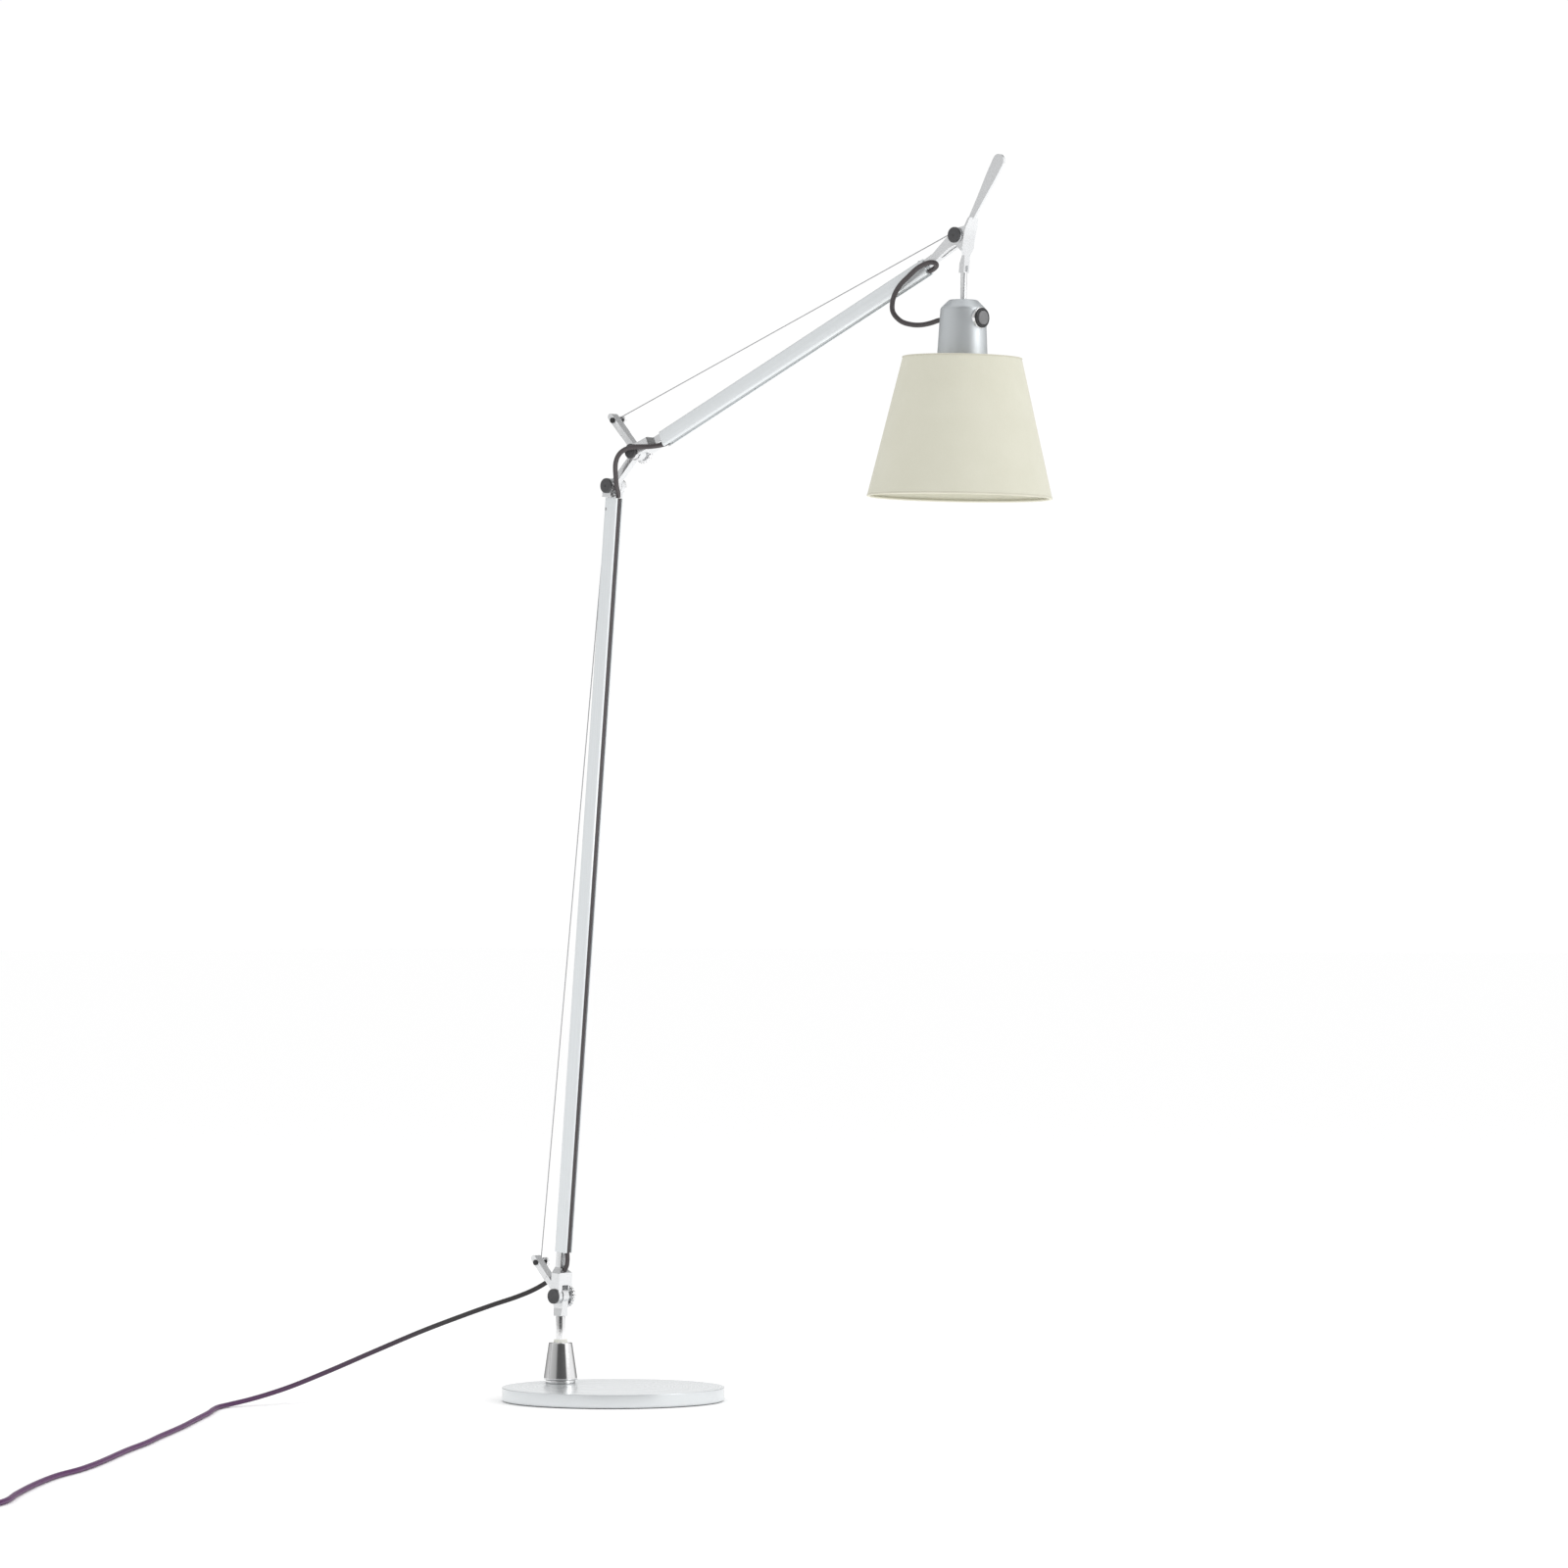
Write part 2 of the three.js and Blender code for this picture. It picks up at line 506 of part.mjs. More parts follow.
const springGeometry = (x, from, to) => turnedZ([
  [SPRING.inner, from], [SPRING.outer, from], [SPRING.outer, to], [SPRING.inner, to],
], ROUND.tiny).translate(x, 0, 0);

/** The wire pin of a lever, seen from an arm's group. */
function leverTipInArm(lean) {
  const angle = radians(LEVER.angle + lean);
  return [LEVER.pinDistance * Math.cos(angle), LEVER.pinDistance * Math.sin(angle)];
}

function addLowerArm() {
  const [pivotX, pivotZ] = LOWER_ARM.endPivot;
  const { profileStart, profileEnd } = LOWER_ARM;
  const jumper = [
    [GROOVE_CABLE_X, 0, profileStart - GAP], [6.4, 0, 38.5], [5.6, 0, 31.5], [1.2, 0.5, 26],
    [-4.6, 1.3, 24.3], [-9.4, 3.3, 24.1],
  ];
  const throughFork = [[GROOVE_CABLE_X, 0, profileStart], ...jumper.slice(1)];
  add(lowerArm, 'lower_arm_fork', springForkGeometry(LOWER_ARM, throughFork), 'polished');
  add(lowerArm, 'stem_jumper_cable', tubeThrough(jumper, CABLE_RADIUS, 8, 14), 'cable');

  const pulleyZ = pivotZ - LOWER_PULLEY.below;
  const pulleyRoom = LOWER_PULLEY.rimRadius + 1.2;
  const slot = block(
    [-20, -LOWER_PULLEY.halfWidth - 0.5, pulleyZ - pulleyRoom],
    [CAVITY.back + 1, LOWER_PULLEY.halfWidth + 0.5, profileEnd + 1],
  );
  const axleHole = discY(1.5, -10, 10, ROUND.tiny).translate(LOWER_PULLEY.x, 0, pulleyZ);
  add(lowerArm, 'lower_arm_profile', cut(profileGeometry(LOWER_ARM), slot, axleHole), 'anodised');
  const grooveCable = rodAlong(turnedZ, CABLE_RADIUS, profileStart, profileEnd - GAP, 10);
  add(lowerArm, 'lower_groove_cable', grooveCable.translate(GROOVE_CABLE_X, 0, 0), 'cable');

  const atPulley = (geometry) => geometry.translate(LOWER_PULLEY.x, 0, pulleyZ);
  add(lowerArm, 'lower_wire_pulley', atPulley(pulleyGeometry(LOWER_PULLEY, 1.5)), 'springSteel');
  const axle = discY(1.2, -PROFILE.halfWidth + 0.4, PROFILE.halfWidth - 0.4, ROUND.tiny);
  add(lowerArm, 'lower_pulley_axle', atPulley(axle), 'springSteel');

  const springX = (CAVITY.back + CAVITY.front) / 2;
  add(lowerArm, 'lower_spring', springGeometry(springX, profileStart + 20, 560), 'springSteel');
  const [tipX, tipZ] = leverTipInArm(LOWER_ARM.lean);
  const tip = [tipX - TIP_PIN_RADIUS - WIRE_RADIUS - GAP, WIRE_Y, tipZ];
  const wire = wireGeometry(tip, [LOWER_PULLEY.x, pulleyZ], LOWER_PULLEY.grooveRadius, 561);
  add(lowerArm, 'lower_balance_wire', wire, 'springSteel');

  const neckBottom = profileEnd - 5;
  const bridgeBottom = profileEnd + GAP;
  const bridgeTop = pivotZ - EYE.radius - 0.4;
  const body = shapeOf([
    [pivotX - 6, pivotZ], [pivotX - 6, bridgeBottom], [pivotX + 5, bridgeBottom], [pivotX + 5, pivotZ],
  ]);
  const cheeks = discY(CHEEK.radius, -CHEEK.outer, CHEEK.outer, ROUND.medium).translate(pivotX, 0, pivotZ);
  const eyeRoom = block([-30, -CHEEK.inner, bridgeTop], [30, CHEEK.inner, pivotZ + 30]);
  const pinHole = discY(PIN_HOLE_RADIUS, -12, 12).translate(pivotX, 0, pivotZ);
  const plug = block(
    [CAVITY.back + 1.6, -CAVITY.halfWidth + GAP, neckBottom],
    [plugFront(LOWER_ARM), CAVITY.halfWidth - GAP, bridgeBottom + 1],
  );
  const bridge = join(acrossY(body, -CHEEK.outer, CHEEK.outer), cheeks);
  const cableRoom = block([GROOVE_CABLE_X - 3, -3, neckBottom], [30, 3, pivotZ]);
  const topFork = cut(join(cut(bridge, eyeRoom), plug), pinHole, cableRoom);
  add(lowerArm, 'lower_arm_top_fork', topFork, 'polished');

  const atTop = (geometry) => geometry.translate(pivotX, 0, pivotZ);
  add(lowerArm, 'elbow_low_bolt', atTop(boltGeometry()), 'polished');
  add(lowerArm, 'elbow_low_cap', atTop(capGeometry(1.1)), 'greyPlastic');
}

// ---------------------------------------------------------------- elbow link

/** Points of a route given from the low elbow pivot, in the lamp's frame. */
const fromElbowLow = (points) => points.map(([x, y, z]) => [x + ELBOW_LOW[0], y, z + ELBOW_LOW[1]]);

function addElbow() {
  const lowX = ELBOW_LOW[0];
  const lowZ = ELBOW_LOW[1];
  const highX = ELBOW_HIGH[0];
  const highZ = ELBOW_HIGH[1];
  const eyeAt = (radius, x, z) =>
    discY(radius, -EYE.halfThickness, EYE.halfThickness, ROUND.medium).translate(x, 0, z);
  const bar = pointAt(roundEndedBar(LINK.length, LEVER.halfWidth, EYE.halfThickness), LINK.angle);
  const lever = pointAt(leverGeometry(), LEVER.angle).translate(highX, 0, highZ);
  const holes = [[lowX, lowZ], [highX, highZ]].map(([x, z]) =>
    discY(PIN_HOLE_RADIUS, -10, 10).translate(x, 0, z));
  const bracket = join(
    bar.translate(lowX, 0, lowZ), eyeAt(EYE.radius - 1, lowX, lowZ), eyeAt(EYE.radius, highX, highZ), lever,
  );
  add(lamp, 'elbow_bracket', cut(bracket, ...holes), 'polished');

  const atHigh = (geometry) => geometry.translate(highX, 0, highZ);
  add(lamp, 'elbow_high_pin', atHigh(knobPinGeometry()), 'springSteel');
  add(lamp, 'elbow_high_cap', atHigh(capGeometry()), 'greyPlastic');
  add(lamp, 'elbow_tension_knob', atHigh(knobGeometry()), 'polished');
  addLeverTip(lamp, 'elbow', ELBOW_HIGH);

  const lowerRun = fromElbowLow([
    [7, -0.1, -11.5], [9.2, -2.6, -7], [11.2, -6.8, -0.5], [12.6, -9.2, 8], [14, -11.4, 15.5],
    [16.8, -13.8, 22.3], [21.4, -15.5, 28.6], [27.4, -16.6, 33], [33.6, -17, 35.6],
  ]);
  const upperRun = fromElbowLow([
    [34.4, -17, 35.8], [41, -17, 37], [48, -16.4, 37.5], [55.5, -14.6, 37.4], [61.8, -11.4, 37.3],
    [67, -7, 37.9], [71.4, -2.6, 39], [75.4, -0.3, 40.3], [80.7, -0.05, 42.5],
  ]);
  add(lamp, 'elbow_cable_lower', tubeThrough(lowerRun, CABLE_RADIUS, 8, 16), 'cable');
  add(lamp, 'elbow_cable_upper', tubeThrough(upperRun, CABLE_RADIUS, 8, 12), 'cable');
}

// ---------------------------------------------------------------- upper arm

function addUpperArm() {
  const { axisX, profileStart, profileEnd, endPivot } = UPPER_ARM;
  const [pivotX, pivotZ] = endPivot;
  const grooveX = axisX + GROOVE_CABLE_X;
  const cableStart = profileStart + 6;
  add(upperArm, 'upper_arm_fork', springForkGeometry(UPPER_ARM), 'polished');
  add(upperArm, 'upper_arm_profile', profileGeometry(UPPER_ARM), 'anodised');
  const grooveCable = rodAlong(turnedZ, CABLE_RADIUS, cableStart, profileEnd - GAP, 10);
  add(upperArm, 'upper_groove_cable', grooveCable.translate(grooveX, 0, 0), 'cable');

  const springX = axisX + (CAVITY.back + CAVITY.front) / 2;
  add(upperArm, 'upper_spring', springGeometry(springX, profileStart + 20, 300), 'springSteel');

  const legHalf = HANGER.cheekInner - 0.4;
  const pulleyRoom = UPPER_PULLEY.rimRadius + 1;
  const side = shapeOf([
    [plugBack(UPPER_ARM), profileEnd - PLUG_DEPTH], [plugFront(UPPER_ARM), profileEnd - PLUG_DEPTH],
    [plugFront(UPPER_ARM), profileEnd + 12], [pivotX + 7, pivotZ - 14], [pivotX + CHEEK.radius, pivotZ],
    [pivotX - CHEEK.radius, pivotZ], [pivotX - 4, pivotZ - 14], [plugBack(UPPER_ARM) - 0.6, profileEnd + 14],
    [plugBack(UPPER_ARM), profileEnd],
  ]);
  const plugHalf = CAVITY.halfWidth - GAP;
  const front = shapeOf([
    [-plugHalf, profileEnd - PLUG_DEPTH], [plugHalf, profileEnd - PLUG_DEPTH], [plugHalf, profileEnd + 14],
    [legHalf, pivotZ - 15], [legHalf, pivotZ + 10], [-legHalf, pivotZ + 10], [-legHalf, pivotZ - 15],
    [-plugHalf, profileEnd + 14],
  ]);
  const eye = discY(CHEEK.radius, -legHalf, legHalf, ROUND.medium).translate(pivotX, 0, pivotZ);
  const body = overlap(join(acrossY(side, -12, 12), eye), alongX(front, -30, 30));
  const pulleySlot = block([-30, -2.5, pivotZ - pulleyRoom], [30, 2.5, pivotZ + 20]);
  const pinHole = discY(PIN_HOLE_RADIUS, -12, 12).translate(pivotX, 0, pivotZ);
  const innerWireX = pivotX + UPPER_PULLEY.grooveRadius + WIRE_RADIUS;
  const wireWay = rodAlong(turnedZ, 1.4, profileEnd - 20, pivotZ, ROUND.tiny).translate(innerWireX, 0, 0);
  add(upperArm, 'upper_arm_end_fork', cut(body, pulleySlot, pinHole, wireWay), 'polished');

  const [tipX, tipZ] = leverTipInArm(UPPER_ARM.lean);
  const tip = [tipX - TIP_PIN_RADIUS - WIRE_RADIUS - GAP, WIRE_Y, tipZ];
  const wire = wireGeometry(tip, [pivotX, pivotZ], UPPER_PULLEY.grooveRadius, 301);
  add(upperArm, 'upper_balance_wire', wire, 'springSteel');

  const atHead = (geometry) => geometry.translate(pivotX, 0, pivotZ);
  add(upperArm, 'upper_wire_pulley', atHead(pulleyGeometry(UPPER_PULLEY, PIN_HOLE_RADIUS)), 'springSteel');
  add(upperArm, 'head_pivot_bolt', atHead(boltGeometry()), 'polished');
  add(upperArm, 'head_pivot_cap', atHead(capGeometry(1.1)), 'greyPlastic');

  const backFace = axisX - PROFILE.halfDepth;
  const screw = turnedX([[0, -1.9], [1.7, -1.9], [1.7, -GAP], [0, -GAP]], ROUND.tiny);
  add(upperArm, 'end_fork_screw', screw.translate(backFace, 0, profileEnd - 8), 'springSteel');
}

// ---------------------------------------------------------------- head
// The head's group stands on its pivot; it hangs down -Z.

const head = groupAt(lamp, [HEAD_PIVOT[0], 0, HEAD_PIVOT[1]], HEAD.tilt);

function addHanger() {
  const { cheekInner, cheekOuter, plate, halfWidth, rodRadius, rodTop } = HANGER;
  const { axisX } = HEAD;
  const front = [[8.6, -20], [9.6, -10], [10.9, -1.6], [12.9, 6], [16.6, 17]]; // the bent plate's front face
  const back = front.map(([x, z]) => [x - plate, z]).reverse();
  const face = shapeOf([
    [-halfWidth, 8], [-6.3, 17], [6.3, 17], [halfWidth, 8], [halfWidth, -12], [4.4, -20], [-4.4, -20],
    [-halfWidth, -12],
  ]);
  const web = overlap(acrossY(shapeOf([...front, ...back]), -halfWidth, halfWidth), alongX(face, 0, 30));
  const armShape = shapeOf([[-5, 5.5], [-3, -7], [7.6, -16], [8.6, -10], [9.7, -1.6], [11.6, 6], [12.6, 9]]);
  const cheeks = [-1, 1].map((side) => {
    const ys = [side * cheekInner, side * cheekOuter].sort((a, b) => a - b);
    const flange = [side * cheekInner, side * halfWidth].sort((a, b) => a - b);
    return join(acrossY(armShape, ...flange), discY(CHEEK.radius, ...ys, ROUND.medium));
  });
  const bladeShape = new THREE.Shape();
  bladeShape.moveTo(-2.8, -5);
  bladeShape.lineTo(2.8, -5);
  bladeShape.lineTo(4.4, 21);
  bladeShape.lineTo(6.35, 44);
  bladeShape.lineTo(7, 59);
  bladeShape.absarc(0, 62.5, 7, 0, Math.PI);
  bladeShape.lineTo(-7, 59);
  bladeShape.lineTo(-6.35, 44);
  bladeShape.lineTo(-4.4, 21);
  const blade = pointAt(acrossY(bladeShape, -1.5, 1.5), 58).translate(14.4, 0, 18);
  const neck = acrossY(shapeOf([
    [5.8, -18], [8.6, -18], [8.4, -26], [axisX + rodRadius, rodTop - 1], [axisX - rodRadius, rodTop - 1],
    [axisX - 2.6, -28],
  ]), -4, 4);
  const rod = turnedZ([
    [0, HOUSING.top - 8], [rodRadius - 0.4, HOUSING.top - 8], [rodRadius, rodTop], [0, rodTop],
  ], ROUND.small).translate(axisX, 0, 0);
  const window = block([-20, -1.8, rodTop], [30, 1.8, rodTop + 6]);
  const pinHole = discY(PIN_HOLE_RADIUS, -12, 12);
  add(head, 'head_hanger', cut(join(web, ...cheeks, blade, neck, rod), pinHole, window), 'polished');
}

/** Turned pieces on the head's axis. */
const onAxis = (geometry) => geometry.translate(HEAD.axisX, 0, 0);

function addHousing() {
  const { top, shoulder, bottom, topRadius, shoulderRadius, bottomRadius, wall } = HOUSING;
  const shoulderPoints = [];
  const shoulderSteps = 4;
  for (let i = 0; i <= shoulderSteps; i += 1) {
    const angle = (Math.PI / 2) * (i / shoulderSteps);
    shoulderPoints.push([
      topRadius + (shoulderRadius - topRadius) * Math.sin(angle),
      shoulder + (top - shoulder) * Math.cos(angle),
    ]);
  }
  const rodHole = 4.1;
  const shell = turnedZ([
    [rodHole, top], ...shoulderPoints, [bottomRadius, bottom], [bottomRadius - wall, bottom],
    [shoulderRadius - wall, shoulder], [topRadius, top - wall], [rodHole, top - wall],
  ], 36);
  const switchHole = rodAlong(turnedX, SWITCH.bore + GAP, 5, 40, 24).translate(0, 0, SWITCH.z);
  const cableHole = rodAlong(turnedX, 3.9, -40, -5, ROUND.tiny).translate(0, 0, SWITCH.z);
  add(head, 'socket_housing', onAxis(cut(shell, switchHole, cableHole)), 'satin');

  const shellFull = turnedZ([
    [0, top], ...shoulderPoints.map(([r, z]) => [r + GAP, z]), [bottomRadius + GAP, bottom], [0, bottom],
  ], 36);
  const atSwitch = (geometry) => geometry.translate(0, 0, SWITCH.z);
  const barrel = atSwitch(turnedX([
    [SWITCH.bore, 16], [SWITCH.barrelRadius, 16], [SWITCH.barrelRadius, SWITCH.front - 0.6],
    [SWITCH.barrelRadius - 0.6, SWITCH.front], [SWITCH.bore, SWITCH.front],
  ], ROUND.medium));
  add(head, 'switch_barrel', onAxis(cut(barrel, shellFull)), 'polished');
  const ring = turnedX([
    [SWITCH.bore, SWITCH.front + GAP], [9.9, SWITCH.front + GAP], [9.9, SWITCH.front + 1.2],
    [9.2, SWITCH.front + 1.8], [SWITCH.bore, SWITCH.front + 1.8],
  ], ROUND.medium);
  add(head, 'switch_ring', onAxis(atSwitch(ring)), 'blackPlastic');
  const button = turnedX([
    [0, 19], [SWITCH.buttonRadius, 19], [SWITCH.buttonRadius, SWITCH.front + 2.4],
    [SWITCH.buttonRadius - 0.8, SWITCH.front + 3.1], [0, SWITCH.front + 3.4],
  ], 28);
  add(head, 'switch_button', onAxis(atSwitch(button)), 'greyPlastic');

  const grommet = turnedX([
    [2.8, -26.2], [4.2, -26.2], [4.9, -23.6], [3.6, -23.5], [3.6, -19.5], [2.8, -19.5],
  ], ROUND.small);
  add(head, 'cable_grommet', onAxis(atSwitch(grommet)), 'rubber');
}

function addShade() {
  const holder = turnedZ([
    [0, HOLDER.top], [HOLDER.radius - 2, HOLDER.top], [HOLDER.radius, HOLDER.top - 3],
    [HOLDER.radius, HOLDER.bottom], [HOLDER.bore, HOLDER.bottom], [HOLDER.bore, HOLDER.top - 26],
    [0, HOLDER.top - 26],
  ], 28);
  add(head, 'lamp_holder', onAxis(holder), 'porcelain');

  const capTop = HOLDER.top - 26 - GAP;
  const bulbBottom = BULB.centre - BULB.radius;
  const bulbCap = rodAlong(turnedZ, BULB.capRadius, HOLDER.bottom, capTop, 24);
  add(head, 'bulb_cap', onAxis(bulbCap), 'springSteel');
  const globe = [[0, HOLDER.bottom - GAP], [BULB.neckRadius, HOLDER.bottom - GAP]];
  const globeSteps = 8;
  const firstAngle = radians(48);
  for (let i = 0; i <= globeSteps; i += 1) {
    const angle = firstAngle - (firstAngle + Math.PI / 2) * (i / globeSteps);
    globe.push([BULB.radius * Math.cos(angle), BULB.centre + BULB.radius * Math.sin(angle)]);
  }
  globe[globe.length - 1] = [0, bulbBottom];
  add(head, 'bulb_globe', onAxis(turnedZ(globe, 22)), 'opalGlass');

  const { top, bottom, topRadius, bottomRadius, wall } = SHADE;
  const cone = turnedZ([
    [topRadius, top], [bottomRadius, bottom], [bottomRadius - wall, bottom], [topRadius - wall, top],
  ], ROUND.fine);
  add(head, 'shade', onAxis(cone), 'parchment');

  const rimSides = 6;
  const rim = (radius, z, facets) => {
    const points = [];
    for (let i = 0; i < rimSides; i += 1) {
      const angle = (2 * Math.PI * i) / rimSides;
      points.push([radius + RIM_RADIUS * Math.cos(angle), z + RIM_RADIUS * Math.sin(angle)]);
    }
    return turnedZ(points, facets);
  };
  const bottomRim = rim(bottomRadius - RIM_RADIUS / 2, bottom - RIM_RADIUS - GAP, ROUND.fine);
  add(head, 'shade_bottom_rim', onAxis(bottomRim), 'parchment');

  const spiderZ = top - 3;
  const spiderRadius = topRadius - wall - RIM_RADIUS - 0.1;
  const hub = turnedZ([
    [HOLDER.radius + GAP, spiderZ - 1.5], [HOLDER.radius + 4, spiderZ - 1.5],
    [HOLDER.radius + 4, spiderZ + 1.5], [HOLDER.radius + GAP, spiderZ + 1.5],
  ], ROUND.medium);
  const spokes = [90, 210, 330].map((angle) =>
    straight([HOLDER.radius + 2, 0, spiderZ], [spiderRadius, 0, spiderZ], 1.3, 6).rotateZ(radians(angle)));
  add(head, 'shade_spider', onAxis(join(hub, rim(spiderRadius, spiderZ, ROUND.medium), ...spokes)), 'polished');
}

/** The cable's free loop from the upper arm's groove to the housing, given from the head's pivot. */
function addHeadLoop() {
  const route = [
    [-41.6, 0, -32.4], [-35.5, -0.4, -30.2], [-30.4, -2.6, -27.8], [-28.6, -6.2, -25.8], [-31.6, -9.3, -24.9],
    [-38.4, -10.8, -26.3], [-48, -10.8, -29.6], [-60, -11.2, -37.3], [-72.8, -11.2, -46.8],
    [-80.8, -10.8, -58.5], [-81.8, -10, -70.5], [-72.4, -8.8, -80.3], [-59.4, -7, -84.6], [-48.4, -4.4, -85.4],
    [-38, -1.8, -83.9], [-31, -0.4, -82.1], [-24.6, 0, -81.45], [-15, 0, -81.65],
  ];
  const points = route.map(([x, y, z]) => [x + HEAD_PIVOT[0], y, z + HEAD_PIVOT[1]]);
  add(lamp, 'head_loop_cable', tubeThrough(points, CABLE_RADIUS, 8, 34), 'cable');
}

// ---------------------------------------------------------------- mains cord

/** The cord's route from the fork's back channel to the coil, given from the stem's axis. */
const CORD_ROUTE = [
  [-7.6, 3.7, 129.8], [-12.2, 6.8, 129], [-18, 10, 126.2], [-25.5, 11.2, 121.3], [-34.5, 9, 115.2],
  [-45, 2.6, 108.6], [-57.5, -8.4, 101.8], [-72, -28, 94], [-88, -58, 83], [-104, -100, 68.5], [-119, -150, 50.5],
  [-131, -206, 31.5], [-140, -258, 16], [-145, -300, 7.2], [-145, -330, 3.4], [-135, -354, 2.7],
  [-115, -380, 2.7], [-87, -411, 2.7], [-24, -487, 2.7], [20, -540, 2.7], [58, -588, 2.7], [98, -640, 2.7],
  [147, -701, 2.7], [195, -766, 2.7], [286, -883, 2.7], [325, -938, 2.7], [357, -991, 2.7],
  [410, -1062, 2.7], [470, -1134, 2.7], [516, -1186, 2.7], [537, -1224, 2.7], [541.7, -1241.4, 2.7],
];

function addMainsCord() {
  const points = CORD_ROUTE.map(([x, y, z]) => [x + STEM_X, y, z]);
  add(lamp, 'mains_cord', tubeThrough(points, CABLE_RADIUS, 8, 76), 'plumCable');

  const { x, y, innerRadius, outerRadius, height } = COIL;
  const coilBase = 0.2;
  const coil = turnedZ([
    [innerRadius, coilBase], [outerRadius, coilBase], [outerRadius, height], [innerRadius, height],
  ], ROUND.medium).translate(x, y, 0);
  const away = groupAt(lamp, [x, y, 0]);
  away.rotation.z = Math.atan2(COIL_AWAY.y, COIL_AWAY.x);

  const tieHalfWidth = 3;
  const tieWall = 1;
  const tieRoom = 0.8; // between the tie and the wound cord
  const tieOutside = block(
    [innerRadius - tieWall - tieRoom, -tieHalfWidth, 0.05],
    [outerRadius + tieWall + tieRoom, tieHalfWidth, height + tieWall + tieRoom],
  );
  const tieInside = block(
    [innerRadius - tieRoom, -tieHalfWidth - 1, 0.05 + tieWall],
    [outerRadius + tieRoom, tieHalfWidth + 1, height + tieRoom],
  );
  const tieAngle = Math.PI / 2;
  add(away, 'coil_tie', cut(tieOutside, tieInside).rotateZ(tieAngle), 'blackPlastic');
  const tieBed = block(
    [innerRadius - 1, -tieHalfWidth - GAP, -1], [outerRadius + 1, tieHalfWidth + GAP, tieWall + 0.05 + GAP],
  );
  const turned = away.rotation.z + tieAngle;
  add(lamp, 'mains_cord_coil', cut(coil, tieBed.rotateZ(turned).translate(x, y, 0)), 'plumCable');

  const { length, width, height: plugHeight, tail, tailRadius, pinOffset } = PLUG;
  const plugX = outerRadius + GAP + width / 2 + 0.5;
  const plugZ = plugHeight / 2 + 0.05;
  const outline = roundedRectangle(0, width / 2, plugHeight / 2, 4);
  const bodyDepth = { depth: length, bevelEnabled: false, curveSegments: 4 };
  const plugBody = new THREE.ExtrudeGeometry(outline, bodyDepth).translate(0, 0, tail);
  const plugTail = turnedZ([
    [0, 0], [CABLE_RADIUS + 0.6, 0], [tailRadius, tail], [tailRadius, tail + 2], [0, tail + 2],
  ], ROUND.small);
  const pins = [-1, 1].map((side) => rodAlong(turnedZ, 2, tail + length - 1, tail + length + 19)
    .translate(side * pinOffset, 0, 0));
  const plug = join(plugBody, plugTail, ...pins);
  plug.rotateX(Math.PI / 2).translate(plugX, tail - 4, plugZ);
  add(away, 'plug', plug, 'blackPlastic');
}

addBase();
addStem();
addLowerArm();
addElbow();
addUpperArm();
addHanger();
addHousing();
addShade();
addHeadLoop();
addMainsCord();

export default lamp;
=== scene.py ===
"""Looks for the adjustable arm floor lamp: fine surfaces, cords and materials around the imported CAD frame.

Lengths are in metres and in the part's frame: +Z up, the arms reach towards +X, the joint caps face -Y.
"""

import json
import math

import bmesh
import bpy
from mathutils import Matrix, Vector


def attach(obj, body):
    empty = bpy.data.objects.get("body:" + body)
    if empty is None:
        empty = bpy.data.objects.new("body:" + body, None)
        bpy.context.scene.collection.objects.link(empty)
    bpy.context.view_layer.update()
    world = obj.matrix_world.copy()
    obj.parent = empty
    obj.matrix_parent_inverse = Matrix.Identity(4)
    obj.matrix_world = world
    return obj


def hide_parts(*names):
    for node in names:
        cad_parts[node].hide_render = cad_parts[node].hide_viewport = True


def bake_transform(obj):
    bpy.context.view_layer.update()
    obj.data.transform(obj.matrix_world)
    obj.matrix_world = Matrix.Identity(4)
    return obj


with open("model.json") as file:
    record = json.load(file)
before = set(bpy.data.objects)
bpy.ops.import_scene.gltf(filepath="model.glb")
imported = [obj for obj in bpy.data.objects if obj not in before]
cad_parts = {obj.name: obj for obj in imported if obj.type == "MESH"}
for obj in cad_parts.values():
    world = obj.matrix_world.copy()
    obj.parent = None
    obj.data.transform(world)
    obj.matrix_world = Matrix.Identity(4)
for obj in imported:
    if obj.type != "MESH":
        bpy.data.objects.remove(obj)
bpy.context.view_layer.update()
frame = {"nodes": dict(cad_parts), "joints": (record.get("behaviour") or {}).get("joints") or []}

NODES = frame["nodes"]
JOINT_PLACES = {j["name"]: Vector(j["pos_m"]) for j in frame["joints"] if "pos_m" in j}

MM = 0.001
STEM_X = JOINT_PLACES["stem_swivel"].x
LOWER_PIVOT = JOINT_PLACES["lower_arm_pivot"]
ELBOW_LOW = JOINT_PLACES["elbow_low_pivot"]
ELBOW_HIGH = JOINT_PLACES["elbow_high_pivot"]
HEAD_PIVOT = JOINT_PLACES["head_tilt"]
LOWER_LEAN = math.radians(5.37)
UPPER_LEAN = math.radians(67.15)
HEAD_LEAN = math.radians(1.5)
HEAD_AXIS_X = 4.4 * MM  # the head's own axis runs a little in front of its pivot
CABLE_RADIUS = 2.5 * MM


def placed(origin, lean=0.0):
    """The matrix of a group that stands at origin and leans towards +X."""
    return Matrix.Translation(origin) @ Matrix.Rotation(lean, 4, "Y")


